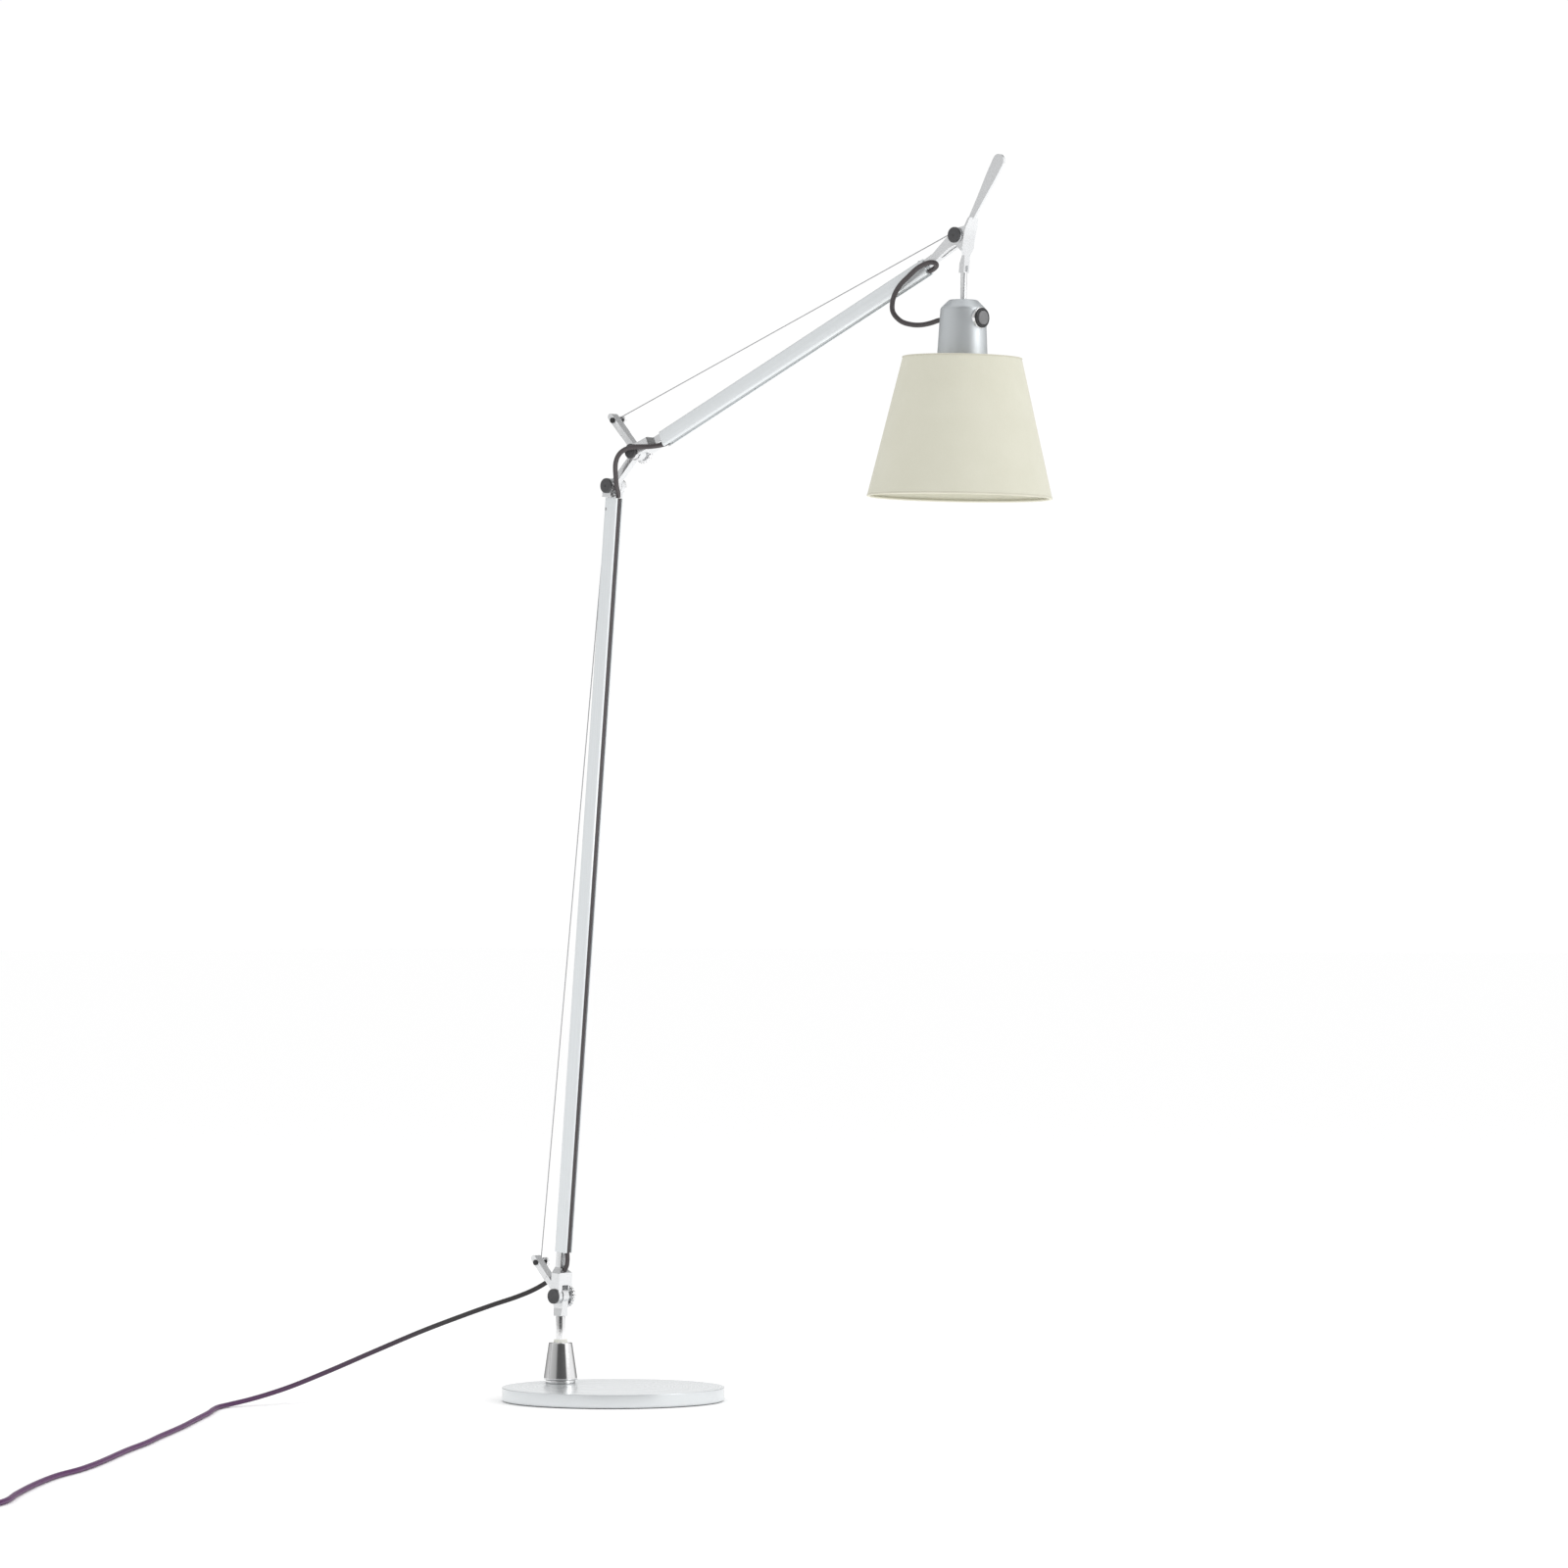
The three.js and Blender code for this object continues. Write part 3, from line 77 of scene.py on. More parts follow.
STEM = placed(Vector((STEM_X, 0, 0)))
LOWER_ARM = placed(LOWER_PIVOT, LOWER_LEAN)
UPPER_ARM = placed(ELBOW_HIGH, UPPER_LEAN)
HEAD = placed(HEAD_PIVOT, HEAD_LEAN) @ Matrix.Translation((HEAD_AXIS_X, 0, 0))
TURN_TO_Y = Matrix.Rotation(-math.pi / 2, 4, "X")  # a piece turned about Z then runs along +Y
TURN_TO_X = Matrix.Rotation(math.pi / 2, 4, "Y")


# ---------------------------------------------------------------- camera

def make_camera():
    camera = bpy.data.objects.new("camera", bpy.data.cameras.new("camera"))
    camera.data.sensor_width = 36
    camera.data.lens = 148.5
    camera.location = (4.691, -4.772, 0.505)
    camera.rotation_euler = (math.radians(91.13), 0, math.radians(43))
    bpy.context.scene.collection.objects.link(camera)
    bpy.context.scene.camera = camera
    bpy.context.view_layer.update()


# ---------------------------------------------------------------- mesh helpers

def add_object(name, mesh, smooth_angle=32):
    """A new object for a mesh, shaded smooth except over edges sharper than the angle."""
    mesh.shade_smooth()
    mesh.set_sharp_from_angle(angle=math.radians(smooth_angle))
    made = bpy.data.objects.new(name, mesh)
    bpy.context.scene.collection.objects.link(made)
    return made


def mesh_from(name, points, faces, matrix=None, smooth_angle=32):
    mesh = bpy.data.meshes.new(name)
    mesh.from_pydata([tuple(p) for p in points], [], faces)
    bm = bmesh.new()
    bm.from_mesh(mesh)
    bmesh.ops.remove_doubles(bm, verts=bm.verts, dist=1e-6)
    bmesh.ops.recalc_face_normals(bm, faces=bm.faces)
    if matrix:
        bm.transform(matrix)
    bm.to_mesh(mesh)
    bm.free()
    return add_object(name, mesh, smooth_angle)


def turned(name, profile, matrix, segments=96, ripple=None, smooth_angle=32):
    """A piece turned about Z from (radius, height) points in millimetres. ripple(angle, radius, height) gives
    the radius at an angle. The profile is closed if neither end is on the axis."""
    closed_loop = profile[0][0] > 0 and profile[-1][0] > 0
    points = []
    faces = []
    for radius, height in profile:
        for k in range(segments):
            angle = 2 * math.pi * k / segments
            r = ripple(angle, radius, height) if ripple else radius
            points.append((r * MM * math.cos(angle), r * MM * math.sin(angle), height * MM))
    spans = len(profile) if closed_loop else len(profile) - 1
    for i in range(spans):
        a = i * segments
        b = ((i + 1) % len(profile)) * segments
        for k in range(segments):
            n = (k + 1) % segments
            faces.append((a + k, a + n, b + n, b + k))
    return mesh_from(name, points, faces, matrix, smooth_angle)


def rounded(corner_points, radius, steps=4):
    """The profile with all corners but the first and last rounded. A corner is (r, z) or (r, z, rounding)."""
    out = []
    count = len(corner_points)
    for i, corner in enumerate(corner_points):
        size = corner[2] if len(corner) > 2 else radius
        here = Vector(corner[:2])
        if size == 0 or i in (0, count - 1):
            out.append(tuple(here))
            continue
        before = Vector(corner_points[i - 1][:2]) - here
        after = Vector(corner_points[i + 1][:2]) - here
        reach = min(size, before.length * 0.45, after.length * 0.45)
        start = here + before.normalized() * reach
        end = here + after.normalized() * reach
        for k in range(steps + 1):
            t = k / steps
            out.append(tuple(start * (1 - t) ** 2 + here * 2 * t * (1 - t) + end * t ** 2))
    return out


def refined(node, bevel=0.35, segments=2, angle=30):
    """A copy of a CAD node's mesh with flat faces made whole and its edges rounded. It replaces the node."""
    source = NODES[node]
    bm = bmesh.new()
    bm.from_mesh(source.data)
    bmesh.ops.remove_doubles(bm, verts=bm.verts, dist=2e-6)
    nearly_flat = math.radians(1.2)
    bmesh.ops.dissolve_limit(bm, angle_limit=nearly_flat, verts=list(bm.verts), edges=list(bm.edges))
    mesh = bpy.data.meshes.new(node + "_fine")
    bm.to_mesh(mesh)
    bm.free()
    made = add_object(node + "_fine", mesh, angle)
    modifier = made.modifiers.new("rounded edges", "BEVEL")
    modifier.width = bevel * MM
    modifier.segments = segments
    modifier.limit_method = "ANGLE"
    modifier.angle_limit = math.radians(angle)
    modifier.use_clamp_overlap = True
    modifier.harden_normals = True
    modifier.miter_outer = "MITER_ARC"
    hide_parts(node)
    return made


def finish_piece(piece, body, material, nodes=()):
    """Gives a new piece its material and body, and hides the CAD nodes that it stands for."""
    piece.data.materials.clear()
    piece.data.materials.append(MATERIALS[material])
    if body:
        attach(piece, body)
    if nodes:
        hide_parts(*nodes)
    return piece


# ---------------------------------------------------------------- cords and cables

def smooth_path(points, step):
    """Points about step apart on a centripetal Catmull-Rom curve through the given ones, in metres."""
    given = [Vector(p) for p in points]
    given = [2 * given[0] - given[1]] + given + [2 * given[-1] - given[-2]]
    out = []
    for i in range(1, len(given) - 2):
        p0, p1, p2, p3 = given[i - 1:i + 3]
        t0 = 0.0
        t1 = t0 + max((p1 - p0).length, 1e-9) ** 0.5
        t2 = t1 + max((p2 - p1).length, 1e-9) ** 0.5
        t3 = t2 + max((p3 - p2).length, 1e-9) ** 0.5
        count = max(1, math.ceil((p2 - p1).length / step))
        for k in range(count):
            t = t1 + (t2 - t1) * k / count
            a1 = p0 * ((t1 - t) / (t1 - t0)) + p1 * ((t - t0) / (t1 - t0))
            a2 = p1 * ((t2 - t) / (t2 - t1)) + p2 * ((t - t1) / (t2 - t1))
            a3 = p2 * ((t3 - t) / (t3 - t2)) + p3 * ((t - t2) / (t3 - t2))
            b1 = a1 * ((t2 - t) / (t2 - t0)) + a2 * ((t - t0) / (t2 - t0))
            b2 = a2 * ((t3 - t) / (t3 - t1)) + a3 * ((t - t1) / (t3 - t1))
            out.append(b1 * ((t2 - t) / (t2 - t1)) + b2 * ((t - t1) / (t2 - t1)))
    out.append(given[-2])
    return out


def tube(name, path, radius, sides=20):
    """A round tube along a path, closed at both ends."""
    points = []
    faces = []
    tangent = (path[1] - path[0]).normalized()
    normal = tangent.orthogonal().normalized()
    last = len(path) - 1
    for i, centre in enumerate(path):
        ahead = path[min(i + 1, last)] - path[max(i - 1, 0)]
        turn = tangent.rotation_difference(ahead.normalized())
        tangent = ahead.normalized()
        normal = (turn @ normal).normalized()
        side = tangent.cross(normal)
        for k in range(sides):
            angle = 2 * math.pi * k / sides
            points.append(centre + (normal * math.cos(angle) + side * math.sin(angle)) * radius)
    for i in range(last):
        for k in range(sides):
            n = (k + 1) % sides
            faces.append((i * sides + k, i * sides + n, (i + 1) * sides + n, (i + 1) * sides + k))
    faces.append(tuple(range(sides)))
    faces.append(tuple(last * sides + k for k in range(sides)))
    return mesh_from(name, points, faces, smooth_angle=50)


# The cord's route from the fork's back channel to the coil, from the stem's axis.
CORD_ROUTE_MM = [
    (-7.6, 3.7, 129.8), (-12.2, 6.8, 129), (-18, 10, 126.2), (-25.5, 11.2, 121.3), (-34.5, 9, 115.2),
    (-45, 2.6, 108.6), (-57.5, -8.4, 101.8), (-72, -28, 94), (-88, -58, 83), (-104, -100, 68.5),
    (-119, -150, 50.5), (-131, -206, 31.5), (-140, -258, 16), (-145, -300, 7.2), (-145, -330, 3.4),
    (-135, -354, 2.7), (-115, -380, 2.7), (-87, -411, 2.7), (-24, -487, 2.7), (20, -540, 2.7),
    (58, -588, 2.7), (98, -640, 2.7), (147, -701, 2.7), (195, -766, 2.7), (286, -883, 2.7),
    (325, -938, 2.7), (357, -991, 2.7), (410, -1062, 2.7), (470, -1134, 2.7), (516, -1186, 2.7),
    (537, -1224, 2.7), (541.7, -1241.4, 2.7),
]
COIL_CENTRE = Vector((445.5, -1269.7, 0)) * MM
COIL_AWAY = Vector((-0.7314, -0.682, 0))  # from the coil towards the plug
COIL_SIDE = Vector((-COIL_AWAY.y, COIL_AWAY.x, 0))


def coil_points():
    """The wound turns: an outer and an inner one on the floor, then an inner and an outer one on top."""
    route_end = Vector(CORD_ROUTE_MM[-1]) * MM + Vector((STEM_X, 0, 0)) - COIL_CENTRE
    easing = math.radians(20)  # the cord joins and leaves the circle this far from its neighbours
    first_angle = math.atan2(route_end.y, route_end.x) - easing
    last_angle = math.atan2(COIL_SIDE.y, COIL_SIDE.x) + easing
    outer, inner = 29.2, 24.0  # radii of the turns' middles
    low, high = 2.75, 7.85
    sweep = (first_angle - last_angle) % (2 * math.pi)
    total = 3 + sweep / (2 * math.pi)
    stations = [  # turns made, radius, height
        (0, outer, low), (0.9, outer, low), (1.1, inner, low), (1.9, inner, low + 0.1),
        (2.12, inner, high), (2.85, inner, high), (3.05, outer, high), (total, outer, high - 0.3),
    ]
    points = []
    steps_per_turn = 28
    count = math.ceil(total * steps_per_turn)
    for i in range(count + 1):
        turns = total * i / count
        before = max(k for k, station in enumerate(stations[:-1]) if station[0] <= turns)
        a, b = stations[before], stations[before + 1]
        share = (turns - a[0]) / (b[0] - a[0])
        share = share * share * (3 - 2 * share)
        radius = a[1] + (b[1] - a[1]) * share
        height = a[2] + (b[2] - a[2]) * share
        angle = first_angle - 2 * math.pi * turns
        points.append(COIL_CENTRE + Vector((radius * math.cos(angle), radius * math.sin(angle), height)) * MM)
    return points


# From the coil to the plug's tail: away from the coil's centre, aside and up.
PLUG_END_MM = [(21.2, 38, 7.4), (31.2, 35.3, 7.3), (38.5, 28, 7.15), (41.2, 18, 7.05)]


def mains_cord_path():
    route = [Vector((x * MM + STEM_X, y * MM, z * MM)) for x, y, z in CORD_ROUTE_MM]
    end = [
        COIL_CENTRE + (COIL_AWAY * away + COIL_SIDE * aside + Vector((0, 0, up))) * MM
        for away, aside, up in PLUG_END_MM
    ]
    step = 2.2 * MM
    return smooth_path(route + coil_points() + end, step)


def make_mains_cord():
    path = mains_cord_path()
    cord = tube("mains_cord_whole", path, CABLE_RADIUS, sides=18)
    finish_piece(cord, None, "mains_cable", ["mains_cord", "mains_cord_coil"])
    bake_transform(cord)
    plug_pieces = [make_plug(), make_tie()]


def make_plug():
    plug = refined("plug", bevel=1.2, segments=3, angle=50)
    return finish_piece(plug, "base", "black_plastic")


def make_tie():
    tie = refined("coil_tie", bevel=0.45, segments=2)
    return finish_piece(tie, "base", "black_plastic")


def cable_through(name, points, node):
    """A cable that stands for a node. It rides on no body."""
    step = 1.2 * MM
    path = smooth_path(points, step)
    piece = tube(name, path, CABLE_RADIUS)
    finish_piece(piece, None, "lamp_cable", [node])
    return piece, path


# The elbow's two stretches, from the low elbow pivot.
ELBOW_RUN_LOW_MM = [
    (7, -0.1, -11.5), (9.2, -2.6, -7), (11.2, -6.8, -0.5), (12.6, -9.2, 8), (14, -11.4, 15.5),
    (16.8, -13.8, 22.3), (21.4, -15.5, 28.6), (27.4, -16.6, 33), (33.6, -17, 35.6),
]
ELBOW_RUN_HIGH_MM = [
    (33.6, -17, 35.6), (41, -17, 37), (48, -16.4, 37.5), (55.5, -14.6, 37.4), (61.8, -11.4, 37.3),
    (67, -7, 37.9), (71.4, -2.6, 39), (75.4, -0.3, 40.3), (80.7, -0.05, 42.5),
]
# The free loop from the upper arm's groove to the housing, from the head's pivot.
HEAD_LOOP_MM = [
    (-41.6, 0, -32.4), (-35.5, -0.4, -30.2), (-30.4, -2.6, -27.8), (-28.6, -6.2, -25.8),
    (-31.6, -9.3, -24.9), (-38.4, -10.8, -26.3), (-48, -10.8, -29.6), (-60, -11.2, -37.3),
    (-72.8, -11.2, -46.8), (-80.8, -10.8, -58.5), (-81.8, -10, -70.5), (-72.4, -8.8, -80.3),
    (-59.4, -7, -84.6), (-48.4, -4.4, -85.4), (-38, -1.8, -83.9), (-31, -0.4, -82.1), (-24.6, 0, -81.45),
    (-15, 0, -81.65),
]
# From the lower groove's cable into the fork's back channel, in the lower arm's group.
JUMPER_MM = [
    (5.45, 0, 45.7), (6.4, 0, 38.5), (5.6, 0, 31.5), (1.2, 0.5, 26), (-4.6, 1.3, 24.3), (-9.4, 3.3, 24.1),
]


def from_point(origin, points):
    return [origin + Vector(p) * MM for p in points]


def make_cables():
    in_arm = [LOWER_ARM @ (Vector(p) * MM) for p in JUMPER_MM]
    jumper, path = cable_through("stem_jumper_lead", in_arm, "stem_jumper_cable")
    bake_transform(jumper)

    low, low_path = cable_through(
        "elbow_lead_low", from_point(ELBOW_LOW, ELBOW_RUN_LOW_MM), "elbow_cable_lower")
    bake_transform(low)
    high, high_path = cable_through(
        "elbow_lead_high", from_point(ELBOW_LOW, ELBOW_RUN_HIGH_MM), "elbow_cable_upper")
    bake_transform(high)

    loop, loop_path = cable_through("head_loop_lead", from_point(HEAD_PIVOT, HEAD_LOOP_MM), "head_loop_cable")
    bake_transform(loop)

    # Under the upper arm no dark cable line shows, so its cable is given the colour of a cover strip.
    for prefix, material in (("lower", "lamp_cable"), ("upper", "groove_cover")):
        lead = refined(prefix + "_groove_cable", bevel=0.01, segments=1, angle=60)
        finish_piece(lead, prefix + "_arm", material)


# ---------------------------------------------------------------- balance wires

LEVER_ANGLE = math.radians(133.4)  # above +X
LEVER_PIN = 46.5  # from the lever's pivot to the wire's pin
WIRE_RADIUS = 0.55 * MM
WIRE_STEP = 12 * MM
WIRE_OFF_PIN = 2.9  # from the pin's axis to the wire's axis
WIRE_Y = 5.8


def wire_route(arm, lean, centre, reach, end):
    """Up from the lever's pin, over the pulley and back down into the profile, in the arm's group."""
    tip_x = LEVER_PIN * math.cos(LEVER_ANGLE + lean) - WIRE_OFF_PIN
    tip_z = LEVER_PIN * math.sin(LEVER_ANGLE + lean)
    points = [(tip_x, WIRE_Y, tip_z)]
    steps = 16
    for i in range(steps + 1):
        angle = math.pi * (1 - i / steps)
        points.append((centre[0] + reach * math.cos(angle), 0, centre[1] + reach * math.sin(angle)))
    points.append((points[-1][0], 0, end))
    return [arm @ (Vector(p) * MM) for p in points]


def make_wires():
    wires = [  # arm, its group and lean, pulley's centre, wire's distance from it, wire's end, lever's body
        ("lower", LOWER_ARM, LOWER_LEAN, (-5.5, 819.9), 4.8, 562, "stem"),
        ("upper", UPPER_ARM, UPPER_LEAN, (-3.8, 484.5), 7.2, 302, "elbow"),
    ]
    for prefix, arm, lean, centre, reach, end, still in wires:
        corners = wire_route(arm, lean, centre, reach, end)
        path = []
        for a, b in zip(corners, corners[1:]):
            count = max(1, math.ceil((b - a).length / WIRE_STEP))
            path += [a.lerp(b, k / count) for k in range(count)]
        path.append(corners[-1])
        wire = tube(prefix + "_wire", path, WIRE_RADIUS, sides=10)
        finish_piece(wire, None, "steel_wire", [prefix + "_balance_wire"])
        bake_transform(wire)


# ---------------------------------------------------------------- materials

MATERIALS = {}


class Nodes:
    """Short calls for building one material's node tree."""

    def __init__(self, name, color, metallic, roughness, **uniform):
        self.material = bpy.data.materials.new(name)
        self.material.use_nodes = True
        self.tree = self.material.node_tree
        self.shader = self.tree.nodes["Principled BSDF"]
        self.shader.inputs["Base Color"].default_value = (*color, 1)
        self.shader.inputs["Metallic"].default_value = metallic
        self.shader.inputs["Roughness"].default_value = roughness
        for socket, value in uniform.items():
            self.shader.inputs[socket.replace("_", " ").title().replace("Ior", "IOR")].default_value = value
        MATERIALS[name] = self.material

    def add(self, kind, **settings):
        made = self.tree.nodes.new(kind)
        for key, value in settings.items():
            setattr(made, key, value)
        return made

    def link(self, source, target):
        self.tree.links.new(source, target)

    def place(self, scale=(1, 1, 1), lean=0.0, offset=(0, 0, 0)):
        """Object coordinates, turned into a leaning group's axes and then scaled."""
        coordinates = self.add("ShaderNodeTexCoord").outputs["Object"]
        turn = self.add("ShaderNodeMapping")
        turn.inputs["Rotation"].default_value = (0, -lean, 0)
        turn.inputs["Location"].default_value = offset
        self.link(coordinates, turn.inputs["Vector"])
        stretch = self.add("ShaderNodeVectorMath", operation="MULTIPLY")
        stretch.inputs[1].default_value = scale
        self.link(turn.outputs["Vector"], stretch.inputs[0])
        return stretch.outputs["Vector"]

    def noise(self, vector, scale, detail=3.0, roughness=0.5):
        made = self.add("ShaderNodeTexNoise")
        made.inputs["Scale"].default_value = scale
        made.inputs["Detail"].default_value = detail
        made.inputs["Roughness"].default_value = roughness
        self.link(vector, made.inputs["Vector"])
        return made.outputs["Fac"]

    def between(self, value, low, high, start=0.3, end=0.7):
        """The value mapped from start..end to low..high."""
        made = self.add("ShaderNodeMapRange")
        for socket, number in zip(("From Min", "From Max", "To Min", "To Max"), (start, end, low, high)):
            made.inputs[socket].default_value = number
        self.link(value, made.inputs["Value"])
        return made.outputs["Result"]

    def mix(self, factor, first, second):
        made = self.add("ShaderNodeMix", data_type="RGBA")
        made.inputs["A"].default_value = (*first, 1)
        made.inputs["B"].default_value = (*second, 1)
        self.link(factor, made.inputs["Factor"])
        return made.outputs["Result"]

    def color(self, factor, first, second):
        self.link(self.mix(factor, first, second), self.shader.inputs["Base Color"])

    def roughen(self, value, low, high):
        self.link(self.between(value, low, high), self.shader.inputs["Roughness"])

    def bump(self, height, distance, strength=1.0):
        made = self.add("ShaderNodeBump")
        made.inputs["Distance"].default_value = distance
        made.inputs["Strength"].default_value = strength
        self.link(height, made.inputs["Height"])
        self.link(made.outputs["Normal"], self.shader.inputs["Normal"])

    def rings(self, centre, frequency):
        """Noise that changes only with the distance from a vertical axis, like a turned surface's grain."""
        vector = self.place(scale=(1, 1, 0), offset=(-centre[0], -centre[1], 0))
        radius = self.add("ShaderNodeVectorMath", operation="LENGTH")
        self.link(vector, radius.inputs[0])
        line = self.add("ShaderNodeCombineXYZ")
        self.link(radius.outputs["Value"], line.inputs["X"])
        return self.noise(line.outputs["Vector"], frequency, detail=2)


def make_metals():
    satin = Nodes("satin_metal", (0.72, 0.745, 0.76), 0.5, 0.26)
    grain = satin.rings((0, 0), 1500)
    satin.roughen(grain, 0.22, 0.3)
    satin.bump(grain, 0.00002, 0.35)

    housing = Nodes("housing_metal", (0.62, 0.65, 0.67), 0.75, 0.44)
    fine = housing.noise(housing.place(), 9000, detail=2)
    cloudy = housing.noise(housing.place(), 60, detail=3)
    housing.roughen(cloudy, 0.4, 0.48)
    housing.bump(fine, 0.00001, 0.5)

    for name, lean in (("lower_profile_metal", LOWER_LEAN), ("upper_profile_metal", UPPER_LEAN)):
        profile = Nodes(name, (0.70, 0.755, 0.77), 0.5, 0.36)
        lines = profile.noise(profile.place(scale=(1, 1, 0.006), lean=lean), 1100, detail=2)
        profile.roughen(lines, 0.33, 0.39)
        profile.color(profile.between(lines, 0, 1), (0.74, 0.77, 0.785), (0.78, 0.81, 0.825))
        profile.bump(lines, 0.000003, 0.3)

    polished = Nodes("polished_metal", (0.87, 0.87, 0.875), 1.0, 0.09)
    marks = polished.noise(polished.place(), 420, detail=4)
    polished.roughen(marks, 0.06, 0.15)
    polished.bump(polished.noise(polished.place(), 95, detail=2), 0.00006, 0.35)

    cast = Nodes("cast_metal", (0.78, 0.79, 0.80), 0.85, 0.22)
    peel = cast.noise(cast.place(), 260, detail=3)
    cast.roughen(cast.noise(cast.place(), 900, detail=3), 0.2, 0.28)
    cast.bump(peel, 0.00003, 0.3)

    steel = Nodes("steel", (0.58, 0.585, 0.59), 1.0, 0.26)
    steel.roughen(steel.noise(steel.place(), 1500, detail=3), 0.2, 0.36)

    wire = Nodes("steel_wire", (0.40, 0.40, 0.41), 0.35, 0.45)
    strands = wire.add("ShaderNodeTexWave", wave_type="BANDS", bands_direction="DIAGONAL")
    strands.inputs["Scale"].default_value = 420
    wire.link(wire.place(), strands.inputs["Vector"])
    wire.bump(strands.outputs["Fac"], 0.00008, 0.6)
    wire.roughen(strands.outputs["Fac"], 0.26, 0.4)

    iron = Nodes("ballast_iron", (0.06, 0.06, 0.062), 0.6, 0.65)
    rough = iron.noise(iron.place(), 700, detail=5)
    iron.color(rough, (0.04, 0.04, 0.042), (0.09, 0.085, 0.085))
    iron.bump(rough, 0.0003, 0.6)


def make_plastics():
    rubber = Nodes("black_rubber", (0.018, 0.018, 0.019), 0, 0.75)
    pitted = rubber.noise(rubber.place(), 2600, detail=3)
    rubber.color(pitted, (0.012, 0.012, 0.013), (0.028, 0.028, 0.029))
    rubber.bump(pitted, 0.00008, 0.5)

    for name, dark, light, low, high in (
        ("black_plastic", (0.008, 0.008, 0.009), (0.016, 0.016, 0.018), 0.28, 0.42),
        ("grey_plastic", (0.046, 0.046, 0.048), (0.066, 0.066, 0.07), 0.4, 0.54),
        ("button_plastic", (0.15, 0.15, 0.155), (0.19, 0.19, 0.195), 0.4, 0.54),
    ):
        moulded = Nodes(name, dark, 0, low)
        texture = moulded.noise(moulded.place(), 3800, detail=2)
        moulded.color(moulded.noise(moulded.place(), 240), dark, light)
        moulded.roughen(texture, low, high)
        moulded.bump(texture, 0.00003, 0.5)

    nylon = Nodes("nylon", (0.82, 0.79, 0.72), 0, 0.45, subsurface_weight=0.1)
    skin = nylon.noise(nylon.place(), 900)
    nylon.roughen(skin, 0.38, 0.52)
    nylon.bump(skin, 0.00004, 0.4)

    cover = Nodes("groove_cover", (0.42, 0.44, 0.45), 0, 0.5)
    cover.color(cover.noise(cover.place(), 90), (0.39, 0.41, 0.42), (0.45, 0.47, 0.48))
    cover.bump(cover.noise(cover.place(), 1500), 0.00004, 0.3)

    lead = Nodes("lamp_cable", (0.06, 0.05, 0.053), 0, 0.5)
    sheath = lead.noise(lead.place(), 1500, detail=3)
    lead.color(lead.noise(lead.place(), 60), (0.046, 0.039, 0.041), (0.066, 0.056, 0.059))
    lead.roughen(sheath, 0.42, 0.58)
    lead.bump(sheath, 0.00004, 0.4)


def make_cord_material():
    """Charcoal by the lamp, turning plum further along the floor."""
    cord = Nodes("mains_cable", (0.06, 0.03, 0.06), 0, 0.52, specular_ior_level=0.3)
    coordinates = cord.add("ShaderNodeSeparateXYZ")
    cord.link(cord.place(), coordinates.inputs["Vector"])
    away = cord.between(coordinates.outputs["Y"], 1.0, 0.0, start=-0.42, end=-0.08)
    cord.color(away, (0.045, 0.042, 0.044), (0.095, 0.022, 0.105))
    sheath = cord.noise(cord.place(), 1400, detail=3)
    cord.roughen(sheath, 0.4, 0.56)
    cord.bump(sheath, 0.00005, 0.4)


def make_shade_materials():
    for name, low, high in (
        ("shade_parchment", (0.60, 0.59, 0.485), (0.635, 0.625, 0.525)),
        ("shade_trim", (0.54, 0.525, 0.43), (0.59, 0.575, 0.475)),
    ):
        paper = Nodes(name, high, 0, 0.82, sheen_weight=0.12, sheen_roughness=0.5)
        fibres = paper.noise(paper.place(scale=(1, 1, 0.35)), 900, detail=6, roughness=0.65)
        mottled = paper.noise(paper.place(), 34, detail=4)
        both = paper.add("ShaderNodeMath", operation="ADD")
        paper.link(paper.between(fibres, 0.0, 0.5), both.inputs[0])
        paper.link(paper.between(mottled, 0.0, 0.5), both.inputs[1])
        paper.color(both.outputs["Value"], low, high)
        paper.roughen(fibres, 0.76, 0.9)
        paper.bump(fibres, 0.00012, 0.55)

    porcelain = Nodes("porcelain", (0.86, 0.85, 0.81), 0, 0.2, coat_weight=0.5, coat_roughness=0.08)
    porcelain.color(porcelain.noise(porcelain.place(), 150), (0.83, 0.82, 0.78), (0.88, 0.87, 0.84))
    opal = Nodes("opal_glass", (0.93, 0.92, 0.89), 0, 0.16, subsurface_weight=0.25, coat_weight=0.4)
    opal.color(opal.noise(opal.place(), 90), (0.9, 0.885, 0.85), (0.95, 0.945, 0.92))


# ---------------------------------------------------------------- base

